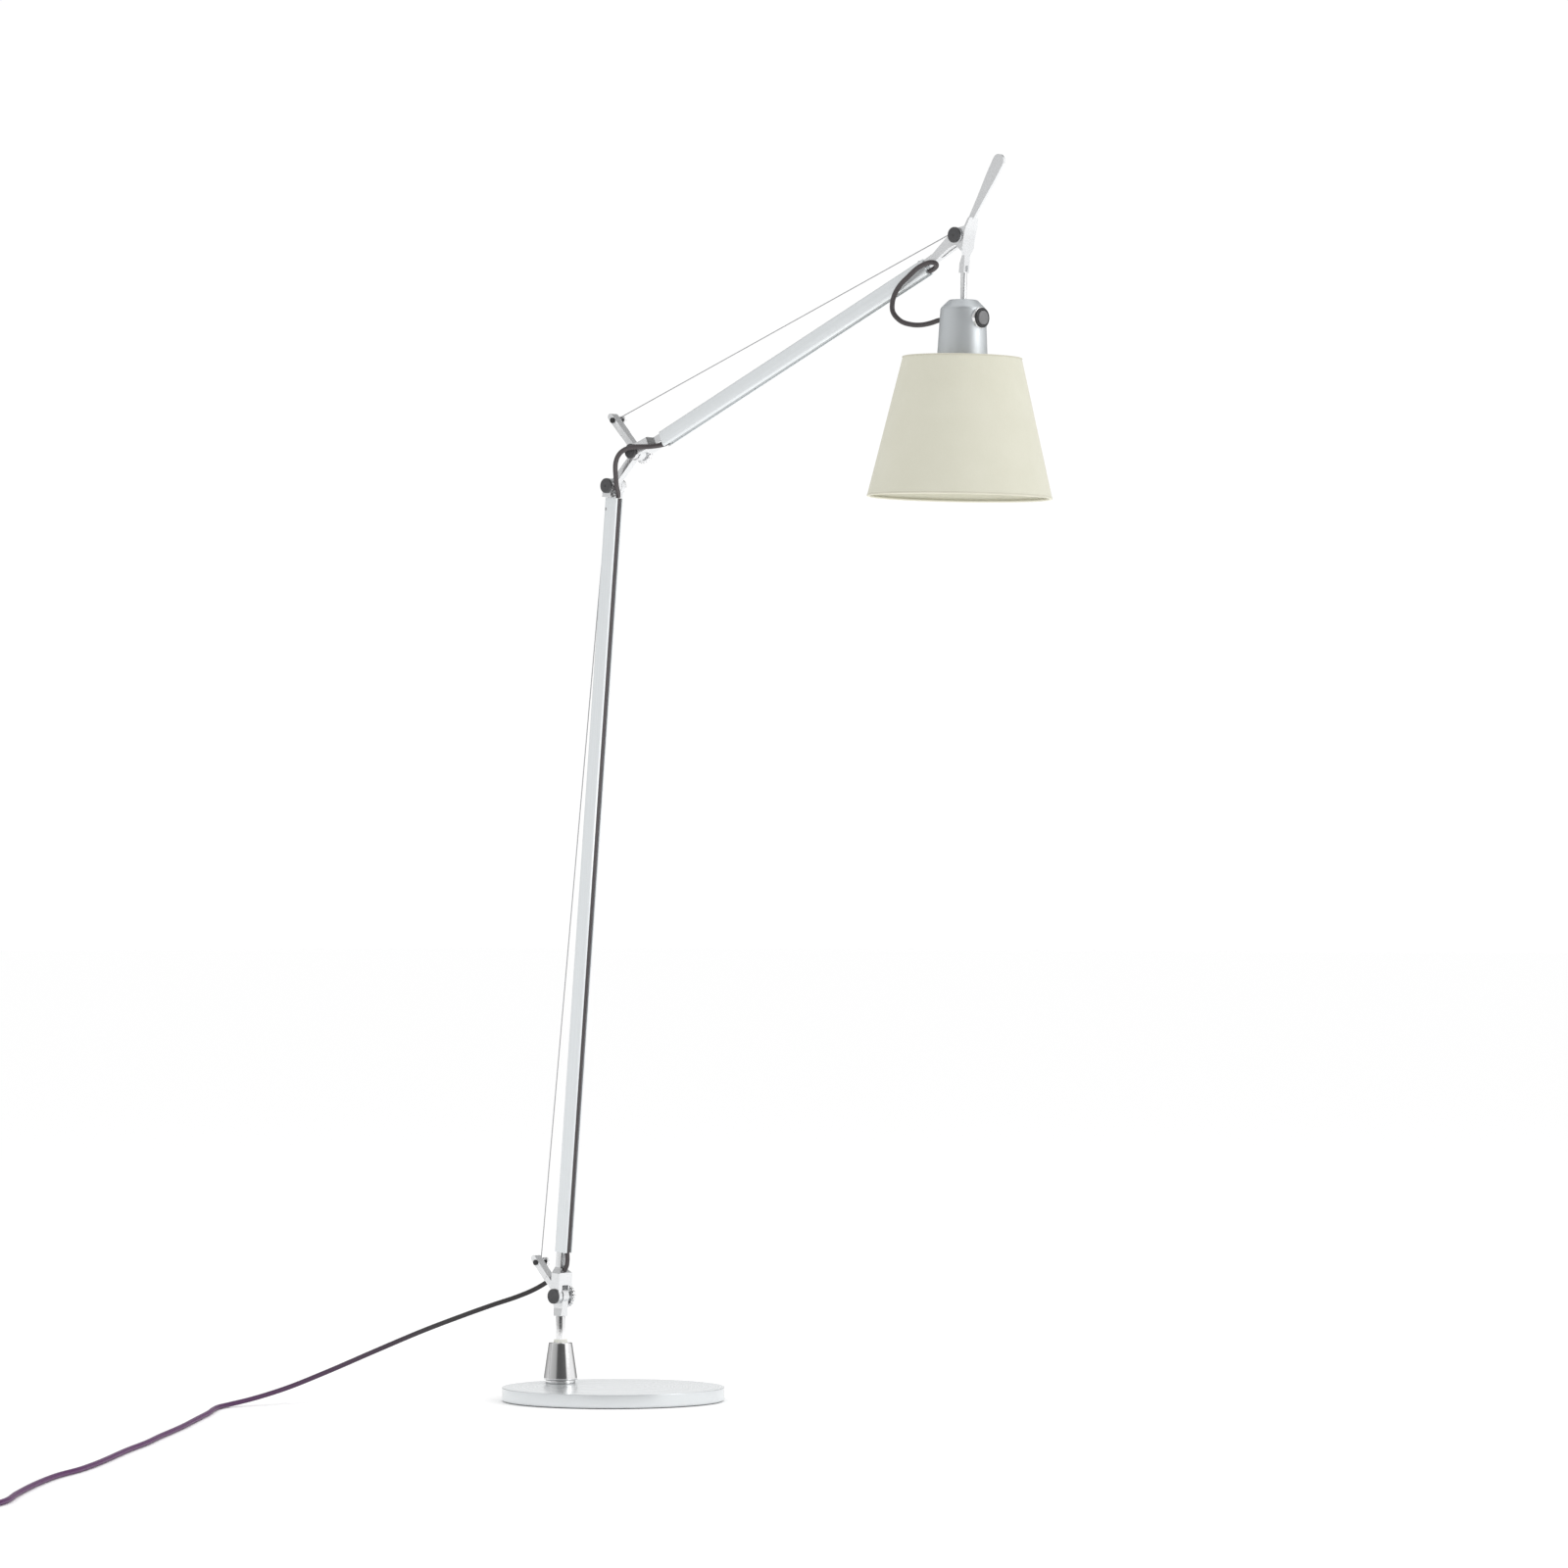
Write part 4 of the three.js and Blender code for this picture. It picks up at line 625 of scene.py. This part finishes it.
def make_base():
    radius, height, wall = 115, 14.5, 2
    rim = 0.8  # the cover stays this far above the floor
    cover = rounded([
        (0, height), (radius, height, 0.8), (radius, rim + 1.4, 0.5), (radius - 1.2, rim, 0.3),
        (radius - wall, rim, 0.3), (radius - wall, height - 2 * wall, 0.5),
        (radius - 2 * wall, height - wall, 0.5), (0, height - wall),
    ], 0.4, steps=5)
    piece = turned("base_cover_fine", cover, Matrix.Identity(4), segments=256)
    finish_piece(piece, "base", "satin_metal", ["base_cover"])
    for node, material in (("base_ballast", "ballast_iron"), ("base_rubber_pad", "black_rubber"),
                           ("base_clamp_screw", "steel")):
        finish_piece(refined(node, bevel=0.3), "base", material)

    ring = rounded([(4, 14.8), (15.5, 14.8, 0.3), (15.5, 18.3, 0.9), (4, 18.3)], 0.3)
    finish_piece(turned("socket_foot_ring_fine", ring, STEM, segments=96),
                 "base", "polished_metal", ["socket_foot_ring"])
    cone = rounded([
        (3.5, 18.6), (18, 18.6, 0.5), (18, 19.9, 0.4), (12.4, 56, 0.3), (11.6, 57, 0.3), (7.5, 57, 0.2),
        (7.5, 25, 0.2), (3.5, 25),
    ], 0.3)
    finish_piece(turned("cone_socket_fine", cone, STEM, segments=128),
                 "base", "polished_metal", ["cone_socket"])
    bushing = rounded([(5.6, 25.3), (7.2, 25.3, 0.1), (7.2, 60, 0.5), (5.6, 60)], 0.2)
    finish_piece(turned("stem_bushing_fine", bushing, STEM, segments=64),
                 "base", "nylon", ["stem_bushing"])


# ---------------------------------------------------------------- joint hardware

def joint_matrix(pivot):
    """A turned piece's +Z points from the pivot towards the knobs' side, +Y."""
    return Matrix.Translation(pivot) @ TURN_TO_Y


CAP_RADIUS = 7.75
CAP_INNER, CAP_OUTER = 9.8, 12  # from the arms' plane; the bolts' heads have the same size


def make_cap(name, pivot, body, node, dot=False):
    profile = [(0, CAP_INNER), (CAP_RADIUS, CAP_INNER, 0.2), (CAP_RADIUS, CAP_OUTER, 0.8)]
    if dot:
        profile += [(1.5, CAP_OUTER, 0.15), (1.1, CAP_OUTER - 0.6, 0.1), (0, CAP_OUTER - 0.6)]
    else:
        profile += [(5.9, CAP_OUTER, 0.3), (5.3, CAP_OUTER - 0.2, 0.3), (0, CAP_OUTER - 0.1)]
    outward = Matrix.Translation(pivot) @ Matrix.Rotation(math.pi, 4, "X") @ TURN_TO_Y
    cap = turned(name, rounded(profile, 0.2), outward, segments=64)
    finish_piece(cap, body, "grey_plastic", [node])


def make_knob(name, pivot, body, node):
    ribs = 18

    def ripple(angle, radius, height):
        fade = min(1.0, max(0.0, (radius - 9.5) / 1.5))
        return radius - 0.75 * fade * (0.5 - 0.5 * math.cos(angle * ribs)) ** 2

    profile = rounded([
        (2.5, 6.6), (11.2, 6.6, 0.5), (12.3, 7.7, 0.5), (12.3, 10.3, 0.8), (10.2, 11.5, 0.8),
        (8.2, 11.9, 0.5), (5, 10.9, 0.5), (2.5, 10.9),
    ], 0.4, steps=3)
    knob = turned(name, profile, joint_matrix(pivot), segments=180, ripple=ripple, smooth_angle=40)
    finish_piece(knob, body, "polished_metal", [node])


def make_nut(name, pivot, body, node):
    knurls = 26

    def ripple(angle, radius, height):
        fade = 1.0 if radius > 4.8 and 7.8 < height < 11.0 else 0.0
        return radius - 0.28 * fade * (0.5 - 0.5 * math.cos(angle * knurls))

    tip = pivot + Vector((math.cos(LEVER_ANGLE), 0, math.sin(LEVER_ANGLE))) * LEVER_PIN * MM
    profile = [
        (2.3, 7.2), (4.6, 7.2), (5.0, 7.6), (5.0, 7.9), (5.0, 10.9), (5.0, 11.2), (4.5, 11.6), (2.3, 11.6),
    ]
    nut = turned(name, profile, joint_matrix(tip), segments=208, ripple=ripple, smooth_angle=40)
    finish_piece(nut, body, "polished_metal", [node])


def make_bolt(name, pivot, body, node):
    pin_radius = 2.9
    pin_start = -9.5
    profile = rounded([
        (0, pin_start), (pin_radius, pin_start, 0.1), (pin_radius, CAP_INNER, 0.1),
        (CAP_RADIUS, CAP_INNER, 0.2), (CAP_RADIUS, CAP_OUTER, 0.9), (3.2, CAP_OUTER, 0.2),
        (2.6, CAP_OUTER - 0.7, 0.2), (0, CAP_OUTER - 0.7),
    ], 0.3)
    finish_piece(turned(name, profile, joint_matrix(pivot), segments=72),
                 body, "polished_metal", [node])


def make_hardware():
    make_cap("lower_pivot_cap_fine", LOWER_PIVOT, "stem", "lower_pivot_cap")
    make_cap("elbow_low_cap_fine", ELBOW_LOW, "lower_arm", "elbow_low_cap", dot=True)
    make_cap("elbow_high_cap_fine", ELBOW_HIGH, "elbow", "elbow_high_cap")
    make_cap("head_pivot_cap_fine", HEAD_PIVOT, "upper_arm", "head_pivot_cap", dot=True)
    make_knob("lower_tension_knob_fine", LOWER_PIVOT, "lower_knob", "lower_tension_knob")
    make_knob("elbow_tension_knob_fine", ELBOW_HIGH, "elbow_knob", "elbow_tension_knob")
    make_nut("lower_wire_nut_fine", LOWER_PIVOT, "stem", "lower_wire_nut")
    make_nut("elbow_wire_nut_fine", ELBOW_HIGH, "elbow", "elbow_wire_nut")
    make_bolt("elbow_low_bolt_fine", ELBOW_LOW, "lower_arm", "elbow_low_bolt")
    make_bolt("head_pivot_bolt_fine", HEAD_PIVOT, "upper_arm", "head_pivot_bolt")


# ---------------------------------------------------------------- castings and profiles

def make_castings():
    rows = [
        ("stem_head_lever", "stem", "cast_metal", "polished_metal"),
        ("lower_arm_fork", "lower_arm", "cast_metal", "polished_metal"),
        ("lower_arm_top_fork", "lower_arm", "cast_metal", "polished_metal"),
        ("elbow_bracket", "elbow", "cast_metal", "polished_metal"),
        ("upper_arm_fork", "upper_arm", "cast_metal", "polished_metal"),
        ("upper_arm_end_fork", "upper_arm", "cast_metal", "polished_metal"),
        ("head_hanger", "head", "cast_metal", "polished_metal"),
        ("lower_arm_profile", "lower_arm", "lower_profile_metal", "anodised_metal"),
        ("upper_arm_profile", "upper_arm", "upper_profile_metal", "anodised_metal"),
        ("lower_pivot_pin", "stem", "steel", "steel"),
        ("elbow_high_pin", "elbow", "steel", "steel"),
        ("lower_wire_pin", "stem", "black_plastic", "black_plastic"),
        ("elbow_wire_pin", "elbow", "black_plastic", "black_plastic"),
        ("lower_wire_pulley", "lower_arm", "steel", "steel"),
        ("lower_pulley_axle", "lower_arm", "steel", "steel"),
        ("upper_wire_pulley", "upper_arm", "steel", "steel"),
        ("end_fork_screw", "upper_arm", "steel", "steel"),
        ("lower_spring", "lower_arm", "steel", "steel"),
        ("upper_spring", "upper_arm", "steel", "steel"),
    ]
    for node, body, material, slot in rows:
        bevel = 0.2 if "profile" in node else 0.4
        finish_piece(refined(node, bevel=bevel, segments=3), body, material)

    rod = rounded([(0, 25.6), (5.25, 25.6, 0.3), (5.25, 84, 0.2), (3, 84, 0.1), (3, 93, 0.3), (0, 93)], 0.3)
    finish_piece(turned("stem_rod_fine", rod, STEM, segments=72), "stem", "polished_metal",
                 ["stem_rod"])


# ---------------------------------------------------------------- head

SWITCH_Z = -82  # the switch's and the cable's height, from the head's pivot


def make_housing():
    top, shoulder, bottom = -63.5, -72.5, -121.6
    outline = rounded([
        (4.1, top), (13.8, top, 1.6), (22.5, shoulder + 0.4, 2.2), (25, bottom, 0.4), (23, bottom),
        (20.6, shoulder), (13.5, top - 2), (4.1, top - 2),
    ], 0.4, steps=5)
    shell = turned("socket_housing_fine", outline, HEAD, segments=160)
    finish_piece(shell, "head", "housing_metal", ["socket_housing"])

    switch = HEAD @ Matrix.Translation((0, 0, SWITCH_Z * MM)) @ TURN_TO_X
    bore, back, front = 7.4, 19.5, 24.4  # the barrel's back and front, from the head's axis
    barrel = rounded([(bore, back), (10.5, back, 0), (10.5, front, 0.7), (bore, front)], 0.5)
    finish_piece(turned("switch_barrel_fine", barrel, switch, segments=96),
                 "head", "polished_metal", ["switch_barrel"])
    ring_back, ring_front = front + 0.3, front + 1.8
    ring = rounded(
        [(bore, ring_back), (9.9, ring_back, 0.1), (9.9, ring_front, 0.7), (bore, ring_front)], 0.3)
    finish_piece(turned("switch_ring_fine", ring, switch, segments=96),
                 "head", "black_plastic", ["switch_ring"])
    button = rounded([(0, 19), (7, 19, 0), (7, front + 3, 0.8), (3, front + 3.4, 0.5), (0, front + 3.4)], 0.5)
    finish_piece(turned("switch_button_fine", button, switch, segments=96),
                 "button", "button_plastic", ["switch_button"])
    grommet = rounded([
        (2.8, -26.2), (4.2, -26.2, 0.3), (4.9, -23.6, 0.3), (3.6, -23.5, 0.1), (3.6, -19.5), (2.8, -19.5),
    ], 0.2)
    finish_piece(turned("cable_grommet_fine", grommet, switch, segments=48),
                 "head", "black_rubber", ["cable_grommet"])


def make_shade():
    top, bottom = -120.8, -256.4
    top_radius, bottom_radius = 58.8, 91
    wall = 0.5
    outline = [
        (top_radius, top), (bottom_radius, bottom), (bottom_radius - wall, bottom), (top_radius - wall, top),
    ]
    shade = turned("shade_paper", outline, HEAD, segments=256)
    finish_piece(shade, "head", "shade_parchment", ["shade"])

    def edge_ring(name, radius, z, size, nodes=()):
        sides = 12
        outline = [
            (radius + size * math.cos(2 * math.pi * k / sides), z + size * math.sin(2 * math.pi * k / sides))
            for k in range(sides)
        ]
        ring = turned(name, outline, HEAD, segments=192, smooth_angle=60)
        finish_piece(ring, "head", "shade_trim", nodes)

    edge_ring("shade_bottom_trim", bottom_radius - 0.7, bottom - 1.1, 1.3, ["shade_bottom_rim"])
    edge_ring("shade_top_trim", top_radius - 0.2, top, 0.8)
    finish_piece(refined("shade_spider", bevel=0.2), "head", "polished_metal")


def make_bulb():
    holder = rounded([
        (0, -92), (16.5, -92, 0.5), (18.5, -95, 1), (18.5, -146, 0.8), (14, -146, 0.4), (14, -118, 0.2),
        (0, -118),
    ], 0.5)
    finish_piece(turned("lamp_holder_fine", holder, HEAD, segments=96),
                 "head", "porcelain", ["lamp_holder"])
    finish_piece(refined("bulb_cap", bevel=0.3), "head", "steel")
    centre, radius = -196, 28
    outline = [(0, -146.3), (12, -146.3)]
    steps = 28
    first = math.radians(52)
    for i in range(steps + 1):
        angle = first - (first + math.pi / 2) * i / steps
        outline.append((max(0, radius * math.cos(angle)), centre + radius * math.sin(angle)))
    outline[-1] = (0, centre - radius)
    neck = rounded([(12, -146.3), (12, -160, 8), outline[2]], 6, steps=6)
    outline = [outline[0]] + neck + outline[3:]
    finish_piece(turned("bulb_globe_fine", outline, HEAD, segments=96),
                 "head", "opal_glass", ["bulb_globe"])


# ---------------------------------------------------------------- studio

def make_stage():
    floor_material = bpy.data.materials.new("studio_floor")
    floor_material.use_nodes = True
    shader = floor_material.node_tree.nodes["Principled BSDF"]
    shader.inputs["Base Color"].default_value = (0.995, 0.995, 0.995, 1)
    shader.inputs["Roughness"].default_value = 0.9
    shader.inputs["Specular IOR Level"].default_value = 0.0
    mesh = bpy.data.meshes.new("floor")
    half = 60.0
    corners = [(-half, -half, 0), (half, -half, 0), (half, half, 0), (-half, half, 0)]
    mesh.from_pydata(corners, [], [(0, 1, 2, 3)])
    floor = bpy.data.objects.new("studio_floor", mesh)
    floor.data.materials.append(floor_material)
    bpy.context.scene.collection.objects.link(floor)


def add_area_light(name, place, target, size, power):
    light = bpy.data.lights.new(name, "AREA")
    light.shape = "RECTANGLE"
    light.size, light.size_y = size
    light.energy = power
    made = bpy.data.objects.new(name, light)
    made.location = place
    made.rotation_euler = (Vector(target) - Vector(place)).to_track_quat("-Z", "Y").to_euler()
    made.visible_camera = False
    bpy.context.scene.collection.objects.link(made)


# The camera's right and the way it looks, level with the floor.
VIEW_RIGHT = Vector((0.7314, 0.682, 0))
VIEW_AHEAD = Vector((-0.682, 0.7314, 0))
LAMP_MIDDLE = Vector((0.2, 0, 0.6))

SOFT_LIGHT = 1.0
BACKDROP = 1.02  # the white that the camera sees
# The greys that reflections see all round: (share of the turn, grey). Half a turn is straight ahead of the
# camera, 0.75 its right, 0.25 its left, and 0 and 1 lie behind it.
REFLECTED_RING = [
    (0.0, 0.08), (0.06, 0.10), (0.09, 0.38), (0.20, 0.55), (0.25, 0.7), (0.33, 0.5), (0.38, 0.3), (0.45, 0.2),
    (0.48, 0.92), (0.52, 0.92), (0.55, 0.2), (0.62, 0.3), (0.66, 0.55), (0.69, 0.95), (0.86, 0.95),
    (0.885, 0.12), (1.0, 0.08),
]


def from_lamp(right, ahead, up):
    return LAMP_MIDDLE + VIEW_RIGHT * right + VIEW_AHEAD * ahead + Vector((0, 0, up))


def make_world():
    """White all round for the camera and for soft light. Reflections see the grey ring instead."""
    world = bpy.data.worlds.new("studio")
    bpy.context.scene.world = world
    world.use_nodes = True
    nodes, links = world.node_tree.nodes, world.node_tree.links
    soft = nodes["Background"]
    soft.inputs["Color"].default_value = (1, 1, 1, 1)
    soft.inputs["Strength"].default_value = SOFT_LIGHT

    direction = nodes.new("ShaderNodeTexCoord")
    across = nodes.new("ShaderNodeVectorMath")
    across.operation = "DOT_PRODUCT"
    across.inputs[1].default_value = VIEW_RIGHT
    links.new(direction.outputs["Generated"], across.inputs[0])
    ahead = nodes.new("ShaderNodeVectorMath")
    ahead.operation = "DOT_PRODUCT"
    ahead.inputs[1].default_value = VIEW_AHEAD
    links.new(direction.outputs["Generated"], ahead.inputs[0])
    turn = nodes.new("ShaderNodeMath")
    turn.operation = "ARCTAN2"
    links.new(across.outputs["Value"], turn.inputs[0])
    links.new(ahead.outputs["Value"], turn.inputs[1])
    share = nodes.new("ShaderNodeMapRange")
    share.inputs["From Min"].default_value = -math.pi
    share.inputs["From Max"].default_value = math.pi
    links.new(turn.outputs["Value"], share.inputs["Value"])
    ramp = nodes.new("ShaderNodeValToRGB")
    ramp.color_ramp.interpolation = "LINEAR"
    stops = ramp.color_ramp.elements
    while len(stops) > 1:
        stops.remove(stops[-1])
    for k, (place, grey) in enumerate(REFLECTED_RING):
        stop = stops[0] if k == 0 else stops.new(place)
        stop.position = place
        stop.color = (grey, grey, grey, 1)
    links.new(share.outputs["Result"], ramp.inputs["Fac"])
    shiny = nodes.new("ShaderNodeBackground")
    shiny.inputs["Strength"].default_value = 1.0
    links.new(ramp.outputs["Color"], shiny.inputs["Color"])

    path = nodes.new("ShaderNodeLightPath")
    choose = nodes.new("ShaderNodeMixShader")
    links.new(path.outputs["Is Glossy Ray"], choose.inputs["Fac"])
    links.new(soft.outputs["Background"], choose.inputs[1])
    links.new(shiny.outputs["Background"], choose.inputs[2])
    seen = nodes.new("ShaderNodeBackground")
    seen.inputs["Strength"].default_value = BACKDROP
    seen.inputs["Color"].default_value = (1, 1, 1, 1)
    final = nodes.new("ShaderNodeMixShader")
    links.new(path.outputs["Is Camera Ray"], final.inputs["Fac"])
    links.new(choose.outputs["Shader"], final.inputs[1])
    links.new(seen.outputs["Background"], final.inputs[2])
    links.new(final.outputs["Shader"], nodes["World Output"].inputs["Surface"])


def make_lights():
    add_area_light("key", from_lamp(3.4, -1.2, 1.6), LAMP_MIDDLE, (1.6, 2.4), 30)
    add_area_light("top", from_lamp(0, 0.2, 3.2), LAMP_MIDDLE, (3.0, 3.0), 10)
    under_shade = HEAD @ Vector((0, 0, -0.7))
    add_area_light("floor_bounce", under_shade, HEAD.translation, (0.3, 0.3), 1.2)
    scene = bpy.context.scene
    scene.view_settings.view_transform = "Standard"
    scene.view_settings.look = "None"


make_camera()
make_metals()
make_plastics()
make_cord_material()
make_shade_materials()
make_mains_cord()
make_cables()
make_wires()
make_base()
make_hardware()
make_castings()
make_housing()
make_shade()
make_bulb()
make_stage()
make_world()
make_lights()
